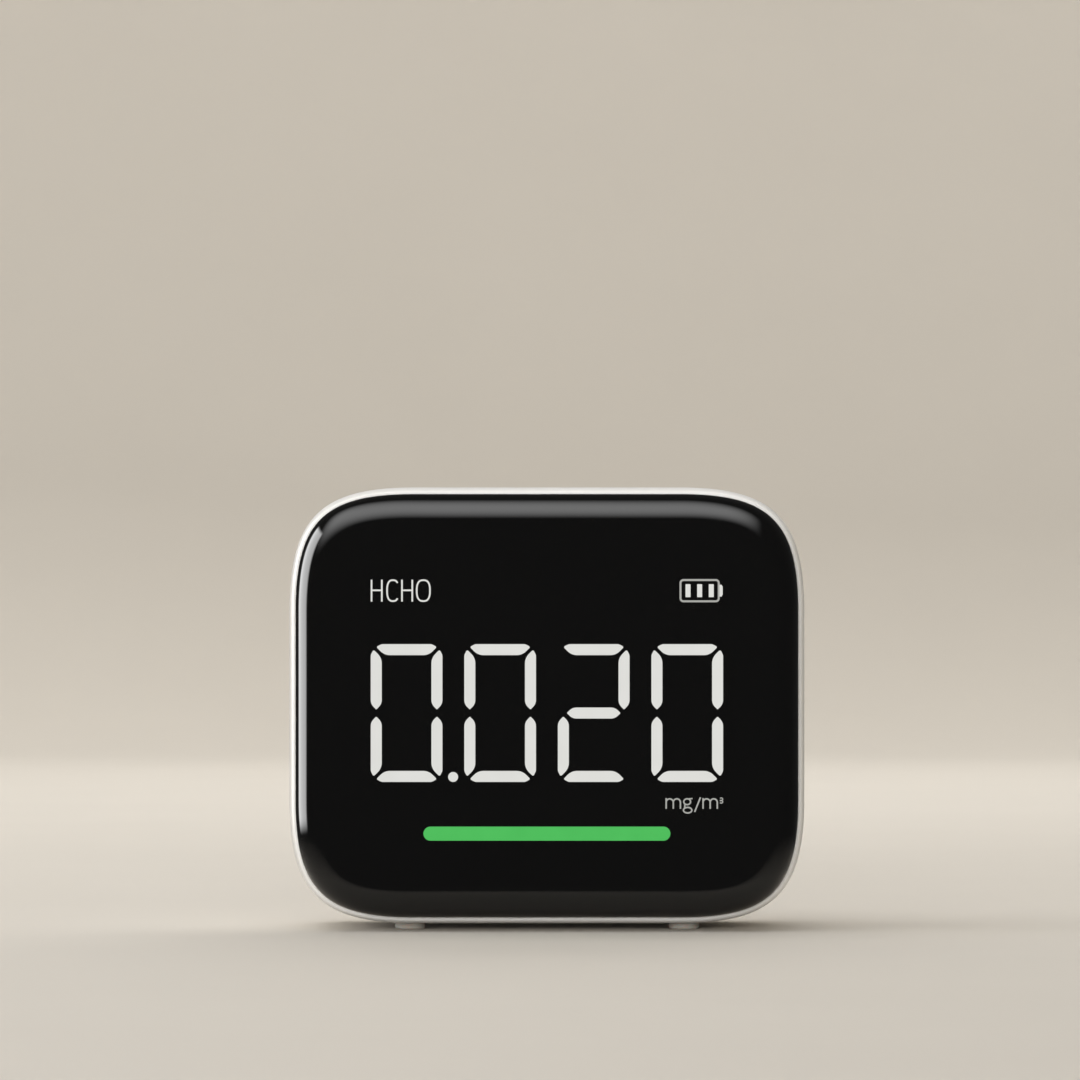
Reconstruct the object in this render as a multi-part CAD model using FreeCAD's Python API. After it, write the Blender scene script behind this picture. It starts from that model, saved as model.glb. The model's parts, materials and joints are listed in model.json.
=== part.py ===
"""Desktop formaldehyde monitor: a glossy black display front on a white housing, standing on four feet.

Millimetres. +Z is up, the display faces -Y, +X is to the viewer's right.
The origin is on the table, under the middle of the housing. Each function below makes one piece or one
family of pieces, and save() writes it as parts/NODE.step.
"""

import FreeCAD, Part
import math
import os

os.makedirs("parts", exist_ok=True)
V = FreeCAD.Vector

# ---------------------------------------------------------------- driving dimensions

LENS_W, LENS_H = 76.0, 64.0          # outline of the black front
CORNER_RUN = 17.8                    # how far along each side a corner's curve starts
CORNER_PULL = 4.2                    # how far the curve's two handles stay from the sharp corner
PULL_PER_GROW = 0.448                # how much more the handles stay away per millimetre of growth
DEPTH = 38.0                         # lens front to cover back
FOOT_DROP = 1.0                      # foot standing out below the housing
SHELL_GROW = 1.0                     # housing outline outside the lens outline
LIP_GROW = 0.15                      # the same at the housing's front lip
SHELL_WALL = 2.2
LENS_WALL = 1.8
LENS_EDGE_R = 4.2                    # round between the lens's face and its side
COVER_EDGE_R = 5.5                   # round between the cover's back and its side
OPENING_EDGE_R = 0.3                 # round at the mouth of each opening in the back
SHUT_EDGE_R = 0.18                   # round on both sides of the shut line
FLARE, FLARE_STEPS = 3.0, 5          # depth over which the lip swells to the full housing

FRONT_Y = -DEPTH / 2
BACK_Y = DEPTH / 2
LENS_REAR_Y = -14.0
LIP_Y = LENS_REAR_Y + 0.15           # shut line behind the lens
JOIN_Y = 12.0                        # shut line between the housing and its cover
JOIN_GAP = 0.2
MID_Z = FOOT_DROP + LENS_H / 2 + SHELL_GROW

INNER_GROW = SHELL_GROW - SHELL_WALL
LENS_BACK_Y = FRONT_Y + LENS_WALL    # the lens's flat inner face
COVER_WALL = 2.0
COVER_FACE_Y = BACK_Y - COVER_WALL   # the cover's flat inner face

# display: a seven-segment reading with labels above and below
DIGIT_W, DIGIT_H = 10.79, 20.74
DIGIT_PITCH = 14.08
DIGIT_Z = -1.01                      # middle of the digits from the middle of the lens
BAR_T = 1.66                         # width of a segment
MITRE_GAP = 0.40                     # from the digit's corner to where a mitre's line starts
TIP_CUT, TIP_RUN = 0.42, 0.80        # a mitred end: its tip from the outer edge, and the cut back to the edge
TIP_GAP = 0.52                       # from a crossing of centrelines to a pointed end
TIP_R, CUT_R, SHOULDER_R, MITRE_R, POINT_R = 0.20, 1.0, 1.5, 2.0, 0.12
POINT_D, POINT_AT = 1.5, 12.40       # decimal point, and its place from the digit's left side
LEVEL_W, LEVEL_H, LEVEL_Z = 37.17, 2.12, -19.16
LABEL_TOP, LABEL_H, LABEL_STROKE = 19.06, 3.30, 0.26
UNIT_BASE, UNIT_X, UNIT_H, UNIT_STROKE = -15.42, 17.84, 1.61, 0.22
ICON_X, ICON_TOP, ICON_W, ICON_H, ICON_LINE = 19.96, 19.15, 6.05, 3.49, 0.29
CHARGE_W, CHARGE_H, CHARGE_PITCH = 0.75, 1.95, 1.75      # the battery symbol's bars

READING = ("abcdef", "abcdef", "abged", "abcdef")     # lit segments, which show 0.020
ALL_SEGMENTS = "abcdefg"
POINT_AFTER = 0                      # the digit that the decimal point follows

BLOCK_W, BLOCK_H = 58.0, 45.0        # light block with a chamber behind each window
FILM_T = 0.15
FILM_FRONT_Y = LENS_BACK_Y + 0.05
FILM_BACK_Y = FILM_FRONT_Y + FILM_T
BLOCK_FRONT_Y = FILM_BACK_Y + 0.05
DIFFUSER_T = 0.9
DISPLAY_BOARD_Y, DISPLAY_BOARD_T = -12.6, 1.2
DISPLAY_BOARD_W, DISPLAY_BOARD_H = 58.8, 53.0
LED_SIDE, POINT_LED_SIDE, LED_T = 1.2, 0.9, 0.5
BAR_LEDS = 5
DRIVER_X, DRIVER_Z, DRIVER_W, DRIVER_H, DRIVER_T = -8.0, 8.0, 9.0, 5.4, 1.5

# frame, chassis and their screws
FRAME_FRONT_Y = FRONT_Y + 2.0
FRAME_STEP_Y = -15.6
FRAME_PLATE_BACK_Y = -14.6
FRAME_REAR_Y = -9.1
FRAME_GROW, FRAME_WALL = -2.3, 1.5
FRAME_FACE_GROW = -4.9
LUG_FRONT_Y, LUG_REAR_Y = -9.0, -6.5
SIDE_SCREW_X, SIDE_SCREW_Z = 32.0, 12.0
SIDE_BOSS_R, SIDE_LUG_HALF = 2.5, 3.6
DISPLAY_SCREW_X, DISPLAY_SCREW_Z = 22.0, 24.8
DISPLAY_BOSS_R = 1.7
FRAME_HOLE_DEPTH, DISPLAY_HOLE_DEPTH = 4.4, 1.6
CHASSIS_Y, CHASSIS_T = -6.4, 1.5
CHASSIS_BACK_Y = CHASSIS_Y + CHASSIS_T
CHASSIS_GROW, LUG_CLEAR = -3.5, 0.6
SHELF_Z, SHELF_T, SHELF_HALF_W, SHELF_END_Y = 4.6, 1.4, 22.5, 9.2

# screws: head radius and height, shank radius and length
DISPLAY_SCREW = (1.4, 0.9, 0.7, 2.6)
FRAME_SCREW = (1.8, 1.2, 1.0, 8.0)
BOARD_SCREW = (1.5, 1.0, 0.8, 4.0)
COVER_SCREW = (2.1, 1.5, 1.1, 9.4)
SCREW_SLACK = 0.02                   # between a thread's outside and the hole drawn for it
PASSING = 0.2                        # the same where a screw only passes through

# main board, lying flat above the shelf
BOARD_Z, BOARD_T = 8.0, 1.2
BOARD_TOP_Z = BOARD_Z + BOARD_T
BOARD_HALF_W, BOARD_Y0, BOARD_Y1 = 23.5, -3.5, 15.6
BOARD_SCREW_X, BOARD_SCREW_YS = 20.0, (-1.0, 8.0)
STANDOFF_R, GUSSET_X, GUSSET_T, GUSSET_REACH, GUSSET_RISE = 2.0, 16.0, 1.2, 0.9, 1.8
USB_W, USB_H, USB_DEPTH, USB_WALL = 8.94, 3.26, 7.3, 0.3
USB_MOUTH_Y = BACK_Y - 0.7
USB_GAP, USB_RECESS, USB_RECESS_DEPTH = 0.25, 0.95, 0.5
USB_FLOOR_T, TONGUE_W, TONGUE_T, TONGUE_BACK = 1.6, 6.7, 0.7, 0.7
CONTACTS, CONTACT_PITCH, CONTACT_W, CONTACT_T = 12, 0.5, 0.24, 0.06
USB_Z = BOARD_TOP_Z + USB_H / 2
RIBBON_X, RIBBON_W, RIBBON_T, RIBBON_BEND = 8.0, 9.0, 0.3, 2.5
RIBBON_Y, RIBBON_Z, RIBBON_END_Y, RIBBON_TOP_Z, RIBBON_WINDOW_H = -10.4, 10.6, 0.6, 17.9, 3.2

# power button in the cover, on a side-push switch
KEY_X, KEY_Z = 17.0, 10.95
KEY_W, KEY_H, KEY_GAP = 9.0, 4.0, 0.2
KEY_DISH, KEY_DISH_RIM, KEY_DISH_R = 0.6, 1.4, 0.22
KEY_EDGE_R, KEY_FLANGE = 0.35, 1.0
SWITCH_Y0, SWITCH_Y1, SWITCH_W, SWITCH_H = 11.4, 15.2, 6.0, 3.5
PLUNGER_W, PLUNGER_H, PLUNGER_IN, PLUNGER_END_Y = 2.8, 1.6, 1.1, 16.2

# battery, sensor and cover
CELL_W, CELL_T, CELL_H, CELL_Z = 44.0, 6.0, 34.0, 17.0
CELL_EDGE_R = 1.4
TAPE_T = 0.6
CELL_Y = CHASSIS_BACK_Y + TAPE_T
TAPE_W, TAPE_H = 36.0, 24.0
LEAD_D = 0.9
PLUG_X, PLUG_Y, PLUG_TAIL, PLUG_Z = -18.5, 4.2, 3.8, 2.1
SOCKET_W, SOCKET_DEPTH, SOCKET_H, SOCKET_WALL, SOCKET_BACK, PLUG_FIT = 5.0, 4.0, 4.2, 0.5, 0.8, 0.1
SENSOR_Z, SENSOR_D = 40.0, 20.0
SENSOR_BOARD_Y, SENSOR_BOARD_T, SENSOR_BOARD_W = 3.2, 1.0, 26.0
SENSOR_FACE_Y, SENSOR_GAP = 14.9, 0.5
MEMBRANE_R, MEMBRANE_T, PORT_R, PORT_DEPTH, GASKET_R = 6.0, 0.3, 1.5, 1.5, 7.2
SENSOR_PINS, SENSOR_PIN_CIRCLE, SENSOR_PIN_R = 3, 6.5, 0.75
HEADER_PINS, HEADER_PITCH, HEADER_PIN_T, HEADER_SIDE = 4, 2.0, 0.5, 2.5
HEADER_HOLE_R = 0.4
HEADER_PIN_Y = SENSOR_BOARD_Y + SENSOR_BOARD_T + 1.4
HEADER_Z = BOARD_TOP_Z + HEADER_SIDE / 2
PIN_STUB = 0.6                       # how far a soldered pin stands out of its board
MESH_W, MESH_H, MESH_T, MESH_WALL, MESH_WALL_DROP = 30.4, 22.8, 0.3, 1.5, 2.5
MESH_PITCH, MESH_HOLE, MESH_COLUMNS, MESH_ROWS = 1.5, 1.0, 17, 13
VENT_COUNT, VENT_PITCH, VENT_SLOT, VENT_W = 7, 3.0, 1.5, 27.0
COVER_SCREW_X, COVER_SCREW_Z = 27.5, 21.5
COVER_LUG_X, COVER_LUG_Z = 25.0, 18.5
COVER_LUG_Y0, COVER_LUG_Y1 = 5.5, 9.4
HEAD_SEAT_Y, HEAD_BORE_R, COVER_BOSS_R = 15.5, 2.4, 3.2
TONGUE_GAP, COVER_TONGUE_T, TONGUE_OVERLAP = 0.2, 1.0, 1.6

FOOT_D, FOOT_SUNK, FOOT_EDGE_R = 4.6, 0.6, 0.3
FOOT_X, FOOT_Y, FOOT_FIT = 20.8, 7.5, 0.1
PIN_FIT = 0.05


# ---------------------------------------------------------------- shape helpers

def outline(grow, y):
    """The lens outline grown by this much, as a wire in the plane at y: four sides and four curved corners.

    Each corner is one cubic Bezier curve. Its ends lie along the two sides, a run away from the sharp
    corner, and its handles lie on the same sides, nearer to it.
    """
    half_w, half_h = LENS_W / 2 + grow, LENS_H / 2 + grow
    run = CORNER_RUN + grow
    pull = CORNER_PULL + PULL_PER_GROW * grow
    edges = []
    for sx, sz, upright in ((1, -1, True), (1, 1, False), (-1, 1, True), (-1, -1, False)):
        corner = V(sx * half_w, y, MID_Z + sz * half_h)
        along_x, along_z = V(-sx, 0, 0), V(0, 0, -sz)
        first, last = (along_x, along_z) if upright else (along_z, along_x)
        poles = [corner + first * run, corner + first * pull, corner + last * pull, corner + last * run]
        curve = Part.BezierCurve()
        curve.setPoles(poles)
        if edges:
            edges.append(Part.makeLine(edges[-1].lastVertex().Point, poles[0]))
        edges.append(curve.toShape())
    edges.append(Part.makeLine(edges[-1].lastVertex().Point, edges[0].firstVertex().Point))
    return Part.Wire(edges)


def prism(wire, y0, y1):
    """A closed wire in an XZ plane, swept from y0 to y1."""
    face = Part.Face(wire)
    face.translate(V(0, y0 - wire.BoundBox.YMin, 0))
    return face.extrude(V(0, y1 - y0, 0))


def slab(grow, y0, y1):
    return prism(outline(grow, y0), y0, y1)


def box(x0, x1, y0, y1, z0, z1):
    return Part.makeBox(x1 - x0, y1 - y0, z1 - z0, V(x0, y0, z0))


def plate(width, height, y0, y1, z=MID_Z, x=0.0, corner=0.0):
    """A block that stands upright, centred on x and z, with round corners."""
    solid = box(x - width / 2, x + width / 2, y0, y1, z - height / 2, z + height / 2)
    if corner:
        solid = solid.makeFillet(corner, edges_along(solid, V(0, 1, 0)))
    return solid


def rod_y(x, z, r, y0, y1):
    return Part.makeCylinder(r, y1 - y0, V(x, y0, z), V(0, 1, 0))


def rod_z(x, y, r, z0, z1):
    return Part.makeCylinder(r, z1 - z0, V(x, y, z0), V(0, 0, 1))


def edges_along(solid, direction):
    """The straight edges that run in this direction."""
    return [
        e for e in solid.Edges
        if isinstance(e.Curve, Part.Line) and abs(abs(e.Curve.Direction.dot(direction)) - 1) < 1e-6
    ]


def rim_at(solid, y):
    """The edges that lie wholly in the plane at y."""
    return [e for e in solid.Edges if abs(e.BoundBox.YMin - y) < 1e-4 and abs(e.BoundBox.YMax - y) < 1e-4]


def rounded(corners, y=0.0):
    """A wire in the plane at y through corners (x, z, radius), rounded by an arc where there is a radius."""
    ends = []
    count = len(corners)
    for i, (x, z, radius) in enumerate(corners):
        here = V(x, y, z)
        back = V(corners[i - 1][0], y, corners[i - 1][1]) - here
        ahead = V(corners[(i + 1) % count][0], y, corners[(i + 1) % count][1]) - here
        back.normalize()
        ahead.normalize()
        if not radius:
            ends.append((here, None, here))
            continue
        half = back.getAngle(ahead) / 2
        middle = back + ahead
        middle.normalize()
        reach = radius / math.tan(half)
        nearest = here + middle * (radius / math.sin(half) - radius)
        ends.append((here + back * reach, nearest, here + ahead * reach))
    edges = []
    for i, (start, nearest, stop) in enumerate(ends):
        if nearest is not None:
            edges.append(Part.Arc(start, nearest, stop).toShape())
        following = ends[(i + 1) % count][0]
        if (following - stop).Length > 1e-6:
            edges.append(Part.makeLine(stop, following))
    return Part.Wire(edges)


def stadium(width, height, x, z, y0, y1):
    """A block with fully round ends, lying along X."""
    r, w, h = height / 2, width / 2, height / 2
    corners = [(x - w, z - h), (x + w, z - h), (x + w, z + h), (x - w, z + h)]
    return prism(rounded([(cx, cz, r * 0.9999) for cx, cz in corners]), y0, y1)


def fused(solids):
    whole = solids[0].fuse(solids[1:]) if len(solids) > 1 else solids[0]
    return whole.removeSplitter()


def both_sides(x):
    return (-x, x)


def four(x, z):
    """The places (x, z) at both sides of the middle, above and below it."""
    return [(u, MID_Z + v) for u in both_sides(x) for v in both_sides(z)]


def side_screw_places():
    return four(SIDE_SCREW_X, SIDE_SCREW_Z)


def display_screw_places():
    return four(DISPLAY_SCREW_X, DISPLAY_SCREW_Z)


def cover_screw_places():
    return four(COVER_SCREW_X, COVER_SCREW_Z)


def board_screw_places():
    return [(x, y) for x in both_sides(BOARD_SCREW_X) for y in BOARD_SCREW_YS]


def corner_block(x, z, y0, y1):
    """A block that fills a corner of the housing, outwards from x and z; z is measured from the middle."""
    x0, x1 = sorted((x, math.copysign(LENS_W / 2, x)))
    z0, z1 = sorted((z, math.copysign(LENS_H / 2, z)))
    return box(x0, x1, y0, y1, MID_Z + z0, MID_Z + z1)


def tube(points, radius):
    """A round lead along straight runs joined by tangent arcs, as large as the runs beside each allow."""
    points = [V(*p) for p in points]
    edges, start = [], points[0]
    for before, here, after in zip(points, points[1:], points[2:]):
        back, ahead = before - here, after - here
        shorter = min(back.Length, ahead.Length)
        back.normalize()
        ahead.normalize()
        half = back.getAngle(ahead) / 2
        reach = 0.45 * shorter
        bend = reach * math.tan(half)
        middle = back + ahead
        middle.normalize()
        first, last = here + back * reach, here + ahead * reach
        edges.append(Part.makeLine(start, first))
        edges.append(Part.Arc(first, here + middle * (bend / math.sin(half) - bend), last).toShape())
        start = last
        print("lead bend radius", round(bend, 2))
    edges.append(Part.makeLine(start, points[-1]))
    path = Part.Wire(edges)
    ring = Part.Wire(Part.makeCircle(radius, points[0], points[1] - points[0]))
    solid = path.makePipeShell([ring], True, False)
    straight = math.pi * radius**2 * path.Length
    print("lead volume over section times length", round(solid.Volume / straight, 3))
    return solid


def screw(head_r, head_t, shank_r, length, cross=True):
    """A pan-head screw at the origin with its head's seat at y = 0 and its shank along -Y."""
    head = Part.makeCylinder(head_r, head_t, V(0, 0, 0), V(0, 1, 0))
    head = head.makeFillet(head_t * 0.45, rim_at(head, head_t))
    whole = head.fuse(Part.makeCylinder(shank_r, length, V(0, 0, 0), V(0, -1, 0)))
    if cross:
        slot = head_r * 0.28
        for w, h in ((head_r * 1.2, slot), (slot, head_r * 1.2)):
            whole = whole.cut(box(-w / 2, w / 2, head_t * 0.4, head_t + 1, -h / 2, h / 2))
    return whole.removeSplitter()


def placed(solid, x, y, z, turn=None):
    copy = solid.copy()
    if turn:
        copy.rotate(V(0, 0, 0), *turn)
    copy.translate(V(x, y, z))
    return copy


UPRIGHT = (V(1, 0, 0), 90)           # turns a screw so that its shank points down


def save(name, *solids):
    shape = solids[0] if len(solids) == 1 else Part.makeCompound(list(solids))
    for solid in shape.Solids:
        if not solid.isValid() or solid.Volume <= 0:
            raise RuntimeError(f"{name} has a solid that isn't closed")
    shape.exportStep(f"parts/{name}.step")
    MADE[name] = shape


MADE = {}


# ---------------------------------------------------------------- what the display shows

def segment_corners(letter):
    """One of the seven segments about the digit's middle, as corners (x, z, radius)."""
    w, h, t, gap = DIGIT_W / 2, DIGIT_H / 2, BAR_T, MITRE_GAP
    tip, run = gap + TIP_CUT, gap + TIP_CUT + TIP_RUN
    if letter in "ad":
        up = 1 if letter == "a" else -1
        return [
            (-w + run, up * h, CUT_R), (w - run, up * h, CUT_R), (w - tip, up * (h - TIP_CUT), TIP_R),
            (w - gap - t, up * (h - t), MITRE_R), (-w + gap + t, up * (h - t), MITRE_R),
            (-w + tip, up * (h - TIP_CUT), TIP_R),
        ]
    if letter == "g":
        end = w - t / 2 - TIP_GAP
        return [
            (-end, 0, POINT_R), (-end + t / 2, t / 2, SHOULDER_R), (end - t / 2, t / 2, SHOULDER_R),
            (end, 0, POINT_R), (end - t / 2, -t / 2, SHOULDER_R), (-end + t / 2, -t / 2, SHOULDER_R),
        ]
    side = 1 if letter in "bc" else -1
    up = 1 if letter in "bf" else -1
    shoulder = TIP_GAP + t / 2
    return [
        (side * (w - TIP_CUT), up * (h - tip), TIP_R), (side * w, up * (h - run), CUT_R),
        (side * w, up * shoulder, SHOULDER_R),
        (side * (w - t / 2), up * TIP_GAP, POINT_R), (side * (w - t), up * shoulder, SHOULDER_R),
        (side * (w - t), up * (h - gap - t), MITRE_R),
    ]


def digit_x(place):
    return (place - (len(READING) - 1) / 2) * DIGIT_PITCH


def segments(lit, y0, y1):
    """The segments of every digit that are lit, or those that are not."""
    found = []
    for place, shown in enumerate(READING):
        for letter in ALL_SEGMENTS:
            if (letter in shown) == lit:
                x, z = digit_x(place), MID_Z + DIGIT_Z
                corners = [(x + u, z + v, r) for u, v, r in segment_corners(letter)]
                found.append(prism(rounded(corners), y0, y1))
    return found


def decimal_point(y0, y1):
    x = digit_x(POINT_AFTER) - DIGIT_W / 2 + POINT_AT
    return rod_y(x, MID_Z + DIGIT_Z - DIGIT_H / 2 + POINT_D / 2, POINT_D / 2, y0, y1)


def level_bar(y0, y1, extra=0.0):
    return stadium(LEVEL_W + extra, LEVEL_H + extra, 0, MID_Z + LEVEL_Z, y0, y1)


def stroke(x0, z0, x1, z1, width, y0, y1):
    """A straight pen stroke with square ends."""
    along = V(x1 - x0, 0, z1 - z0)
    along.normalize()
    across = V(-along.z, 0, along.x) * (width / 2)
    corners = [V(x0, 0, z0) - across, V(x1, 0, z1) - across, V(x1, 0, z1) + across, V(x0, 0, z0) + across]
    return prism(Part.makePolygon(corners + corners[:1]), y0, y1)


def oval(x, z, rx, rz, width, y0, y1):
    """A pen stroke round an oval whose outside has these radii."""
    def disc(a, b):
        curve = Part.Circle(V(0, 0, 0), V(0, 0, 1), a)
        if abs(a - b) > 1e-6:
            curve = Part.Ellipse(V(0, 0, 0), max(a, b), min(a, b))
        face = Part.Face(Part.Wire(curve.toShape()))
        if b > a:
            face.rotate(V(0, 0, 0), V(0, 0, 1), 90)
        face.rotate(V(0, 0, 0), V(1, 0, 0), 90)
        face.translate(V(x, y0, z))
        return face.extrude(V(0, y1 - y0, 0))
    return disc(rx, rz).cut(disc(rx - width, rz - width))


def letter_h(x, z, width, height, pen, y0, y1):
    stems = [stroke(s, z, s, z + height, pen, y0, y1) for s in (x + pen / 2, x + width - pen / 2)]
    return fused(stems + [stroke(x, z + height * 0.515, x + width, z + height * 0.515, pen * 0.95, y0, y1)])


def letter_c(x, z, width, height, pen, y0, y1):
    ring = oval(x + width * 0.56, z + height / 2, width * 0.56, height / 2, pen, y0, y1)
    return ring.cut(box(x + width * 0.9, x + width * 2, y0 - 1, y1 + 1, z - 1, z + height + 1)).cut(
        box(x + width / 2, x + width * 2, y0 - 1, y1 + 1, z + height * 0.19, z + height * 0.81)
    )


def letter_m(x, z, width, height, pen, y0, y1):
    """Three stems with two round arches."""
    arch = (width + pen) / 4
    pieces = [stroke(x + pen / 2, z, x + pen / 2, z + height, pen, y0, y1)]
    for left in (x, x + width / 2 - pen / 2):
        top = oval(left + arch, z + height - arch, arch, arch, pen, y0, y1)
        pieces.append(top.cut(box(left - 1, left + 3 * arch, y0 - 1, y1 + 1, z - 1, z + height - arch)))
        right = left + 2 * arch - pen / 2
        pieces.append(stroke(right, z, right, z + height - arch, pen, y0, y1))
    return fused(pieces)


def letter_g(x, z, width, height, pen, y0, y1):
    """A bowl over a flatter loop, with an ear at the top right."""
    bowl_r = height * 0.36
    bowl = oval(x + width * 0.47, z + height - bowl_r, width * 0.42, bowl_r, pen, y0, y1)
    loop = oval(x + width * 0.5, z - height * 0.12, width * 0.5, height * 0.31, pen, y0, y1)
    link = stroke(x + width * 0.17, z + height * 0.12, x + width * 0.2, z + height * 0.4, pen, y0, y1)
    ear = stroke(x + width * 0.55, z + height - pen / 2, x + width, z + height - pen / 2, pen * 0.9, y0, y1)
    return fused([bowl, loop, link, ear])


def raised_three(x, z, width, height, pen, y0, y1):
    rings = [oval(x + width / 2, z + height * k, width / 2, height * 0.29, pen, y0, y1) for k in (0.29, 0.71)]
    opening = box(x - 1, x + width * 0.36, y0 - 1, y1 + 1, z + height * 0.12, z + height * 0.88)
    return fused(rings).cut(opening)


def substance_letters(y0, y1):
    """The formula for formaldehyde, in narrow capitals."""
    z, pen, h = MID_Z + LABEL_TOP - LABEL_H, LABEL_STROKE, LABEL_H
    x = digit_x(0) - DIGIT_W / 2
    return [
        letter_h(x, z, 1.80, h, pen, y0, y1),
        letter_c(x + 2.34, z, 1.82, h, pen, y0, y1),
        letter_h(x + 4.58, z, 1.80, h, pen, y0, y1),
        oval(x + 7.92, z + h / 2, 1.12, h / 2, pen, y0, y1),
    ]


def unit_letters(y0, y1):
    """Milligrams per cubic metre."""
    x, z, h, pen = UNIT_X, MID_Z + UNIT_BASE, UNIT_H, UNIT_STROKE
    return [
        letter_m(x, z, 2.36, h, pen, y0, y1),
        letter_g(x + 2.60, z, 1.48, h, pen, y0, y1),
        stroke(x + 4.39, z - 0.48, x + 5.27, z + 1.72, pen * 0.95, y0, y1),
        letter_m(x + 5.55, z, 2.36, h, pen, y0, y1),
        raised_three(x + 8.09, z + 0.78, 0.64, 0.98, 0.18, y0, y1),
    ]


def battery_symbol(y0, y1):
    """An outlined cell with its terminal and three charge bars."""
    x, h = ICON_X, ICON_H
    z = MID_Z + ICON_TOP - h / 2
    middle = x + ICON_W / 2
    frame = plate(ICON_W, h, y0, y1, z, middle, 0.6).cut(
        plate(ICON_W - 2 * ICON_LINE, h - 2 * ICON_LINE, y0 - 1, y1 + 1, z, middle, 0.28)
    )
    nub = prism(rounded([
        (x + ICON_W - 0.05, z - 0.9, 0), (x + ICON_W + 0.2, z - 0.9, 0), (x + ICON_W + 0.42, z - 0.6, 0.1),
        (x + ICON_W + 0.42, z + 0.6, 0.1), (x + ICON_W + 0.2, z + 0.9, 0), (x + ICON_W - 0.05, z + 0.9, 0),
    ]), y0, y1)
    bars = [plate(CHARGE_W, CHARGE_H, y0, y1, z, middle + step * CHARGE_PITCH) for step in (-1, 0, 1)]
    return [fused([frame, nub])] + bars


# ---------------------------------------------------------------- front: lens, film, light block, boards

def make_front():
    lens = slab(0, FRONT_Y, LENS_REAR_Y)
    lens = lens.makeFillet(LENS_EDGE_R, rim_at(lens, FRONT_Y))
    hollow = slab(-LENS_WALL, LENS_BACK_Y, LENS_REAR_Y)
    hollow = hollow.makeFillet(LENS_EDGE_R - LENS_WALL, rim_at(hollow, LENS_BACK_Y))
    save("front_lens", lens.cut(hollow))

    tape = slab(FRAME_FACE_GROW, LENS_BACK_Y, FRAME_FRONT_Y).cut(
        plate(BLOCK_W + 1.2, BLOCK_H + 1.2, LENS_BACK_Y - 1, FRAME_FRONT_Y + 1, corner=2.0)
    )
    save("lens_adhesive", tape)

    y0, y1 = FILM_FRONT_Y, FILM_BACK_Y
    film = plate(BLOCK_W + 0.8, BLOCK_H + 0.8, y0, y1, corner=1.8)
    through = (y0 - 1, y1 + 1)
    windows = segments(True, *through) + segments(False, *through)
    windows += [decimal_point(*through), level_bar(*through)]
    windows += substance_letters(*through) + unit_letters(*through) + battery_symbol(*through)
    film = film.cut(windows)
    save("mask_film", *sorted(film.Solids, key=lambda s: -s.Volume))


def label_windows(y0, y1):
    """The three plain windows behind the printed label, the battery symbol and the unit."""
    z = MID_Z + LABEL_TOP - LABEL_H / 2
    left = digit_x(0) - DIGIT_W / 2
    return {
        "substance_label_diffuser": plate(10.2, 4.4, y0, y1, z, left + 4.63),
        "battery_symbol_diffuser": plate(7.8, 4.4, y0, y1, z, ICON_X + 3.4),
        "unit_label_diffuser": plate(10.0, 3.9, y0, y1, MID_Z + UNIT_BASE + 0.7, UNIT_X + 4.5),
    }


def make_light_block():
    front, rear = BLOCK_FRONT_Y, DISPLAY_BOARD_Y
    lens_side = front + DIFFUSER_T
    block = plate(BLOCK_W, BLOCK_H, front, rear, corner=1.5)
    chambers = segments(True, front - 1, rear + 1) + segments(False, front - 1, rear + 1)
    chambers += [decimal_point(front - 1, rear + 1), level_bar(front - 1, rear + 1, 0.3)]
    chambers += label_windows(front - 1, rear + 1).values()
    save("light_block", block.cut(chambers))
    save("digit_segments_lit", *segments(True, front, lens_side))
    save("digit_segments_unlit", *segments(False, front, lens_side))
    save("decimal_point_diffuser", decimal_point(front, lens_side))
    save("level_bar_diffuser", level_bar(front, lens_side, 0.3))
    for name, solid in label_windows(front, lens_side).items():
        save(name, solid)


def led_places():
    """The middle and side of each lamp: one behind each segment and the point, rows behind bar and labels."""
    w, h, t = DIGIT_W / 2, DIGIT_H / 2, BAR_T / 2
    spots = {"a": (0, h - t), "d": (0, t - h), "g": (0, 0), "b": (w - t, h / 2), "c": (w - t, -h / 2),
             "e": (t - w, -h / 2), "f": (t - w, h / 2)}
    places = []
    for place in range(len(READING)):
        places += [(digit_x(place) + u, DIGIT_Z + v) for u, v in spots.values()]
    places += [((step - (BAR_LEDS - 1) / 2) * LEVEL_W / BAR_LEDS, LEVEL_Z) for step in range(BAR_LEDS)]
    label_z = LABEL_TOP - LABEL_H / 2
    left = digit_x(0) - DIGIT_W / 2
    places += [(left + 2.2, label_z), (left + 7.0, label_z), (ICON_X + 1.8, label_z), (ICON_X + 5.0, label_z)]
    places += [(UNIT_X + 2.2, UNIT_BASE + 0.7), (UNIT_X + 6.8, UNIT_BASE + 0.7)]
    point = (digit_x(POINT_AFTER) - DIGIT_W / 2 + POINT_AT, DIGIT_Z - DIGIT_H / 2 + POINT_D / 2)
    return [(x, z, LED_SIDE) for x, z in places] + [(*point, POINT_LED_SIDE)]


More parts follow.
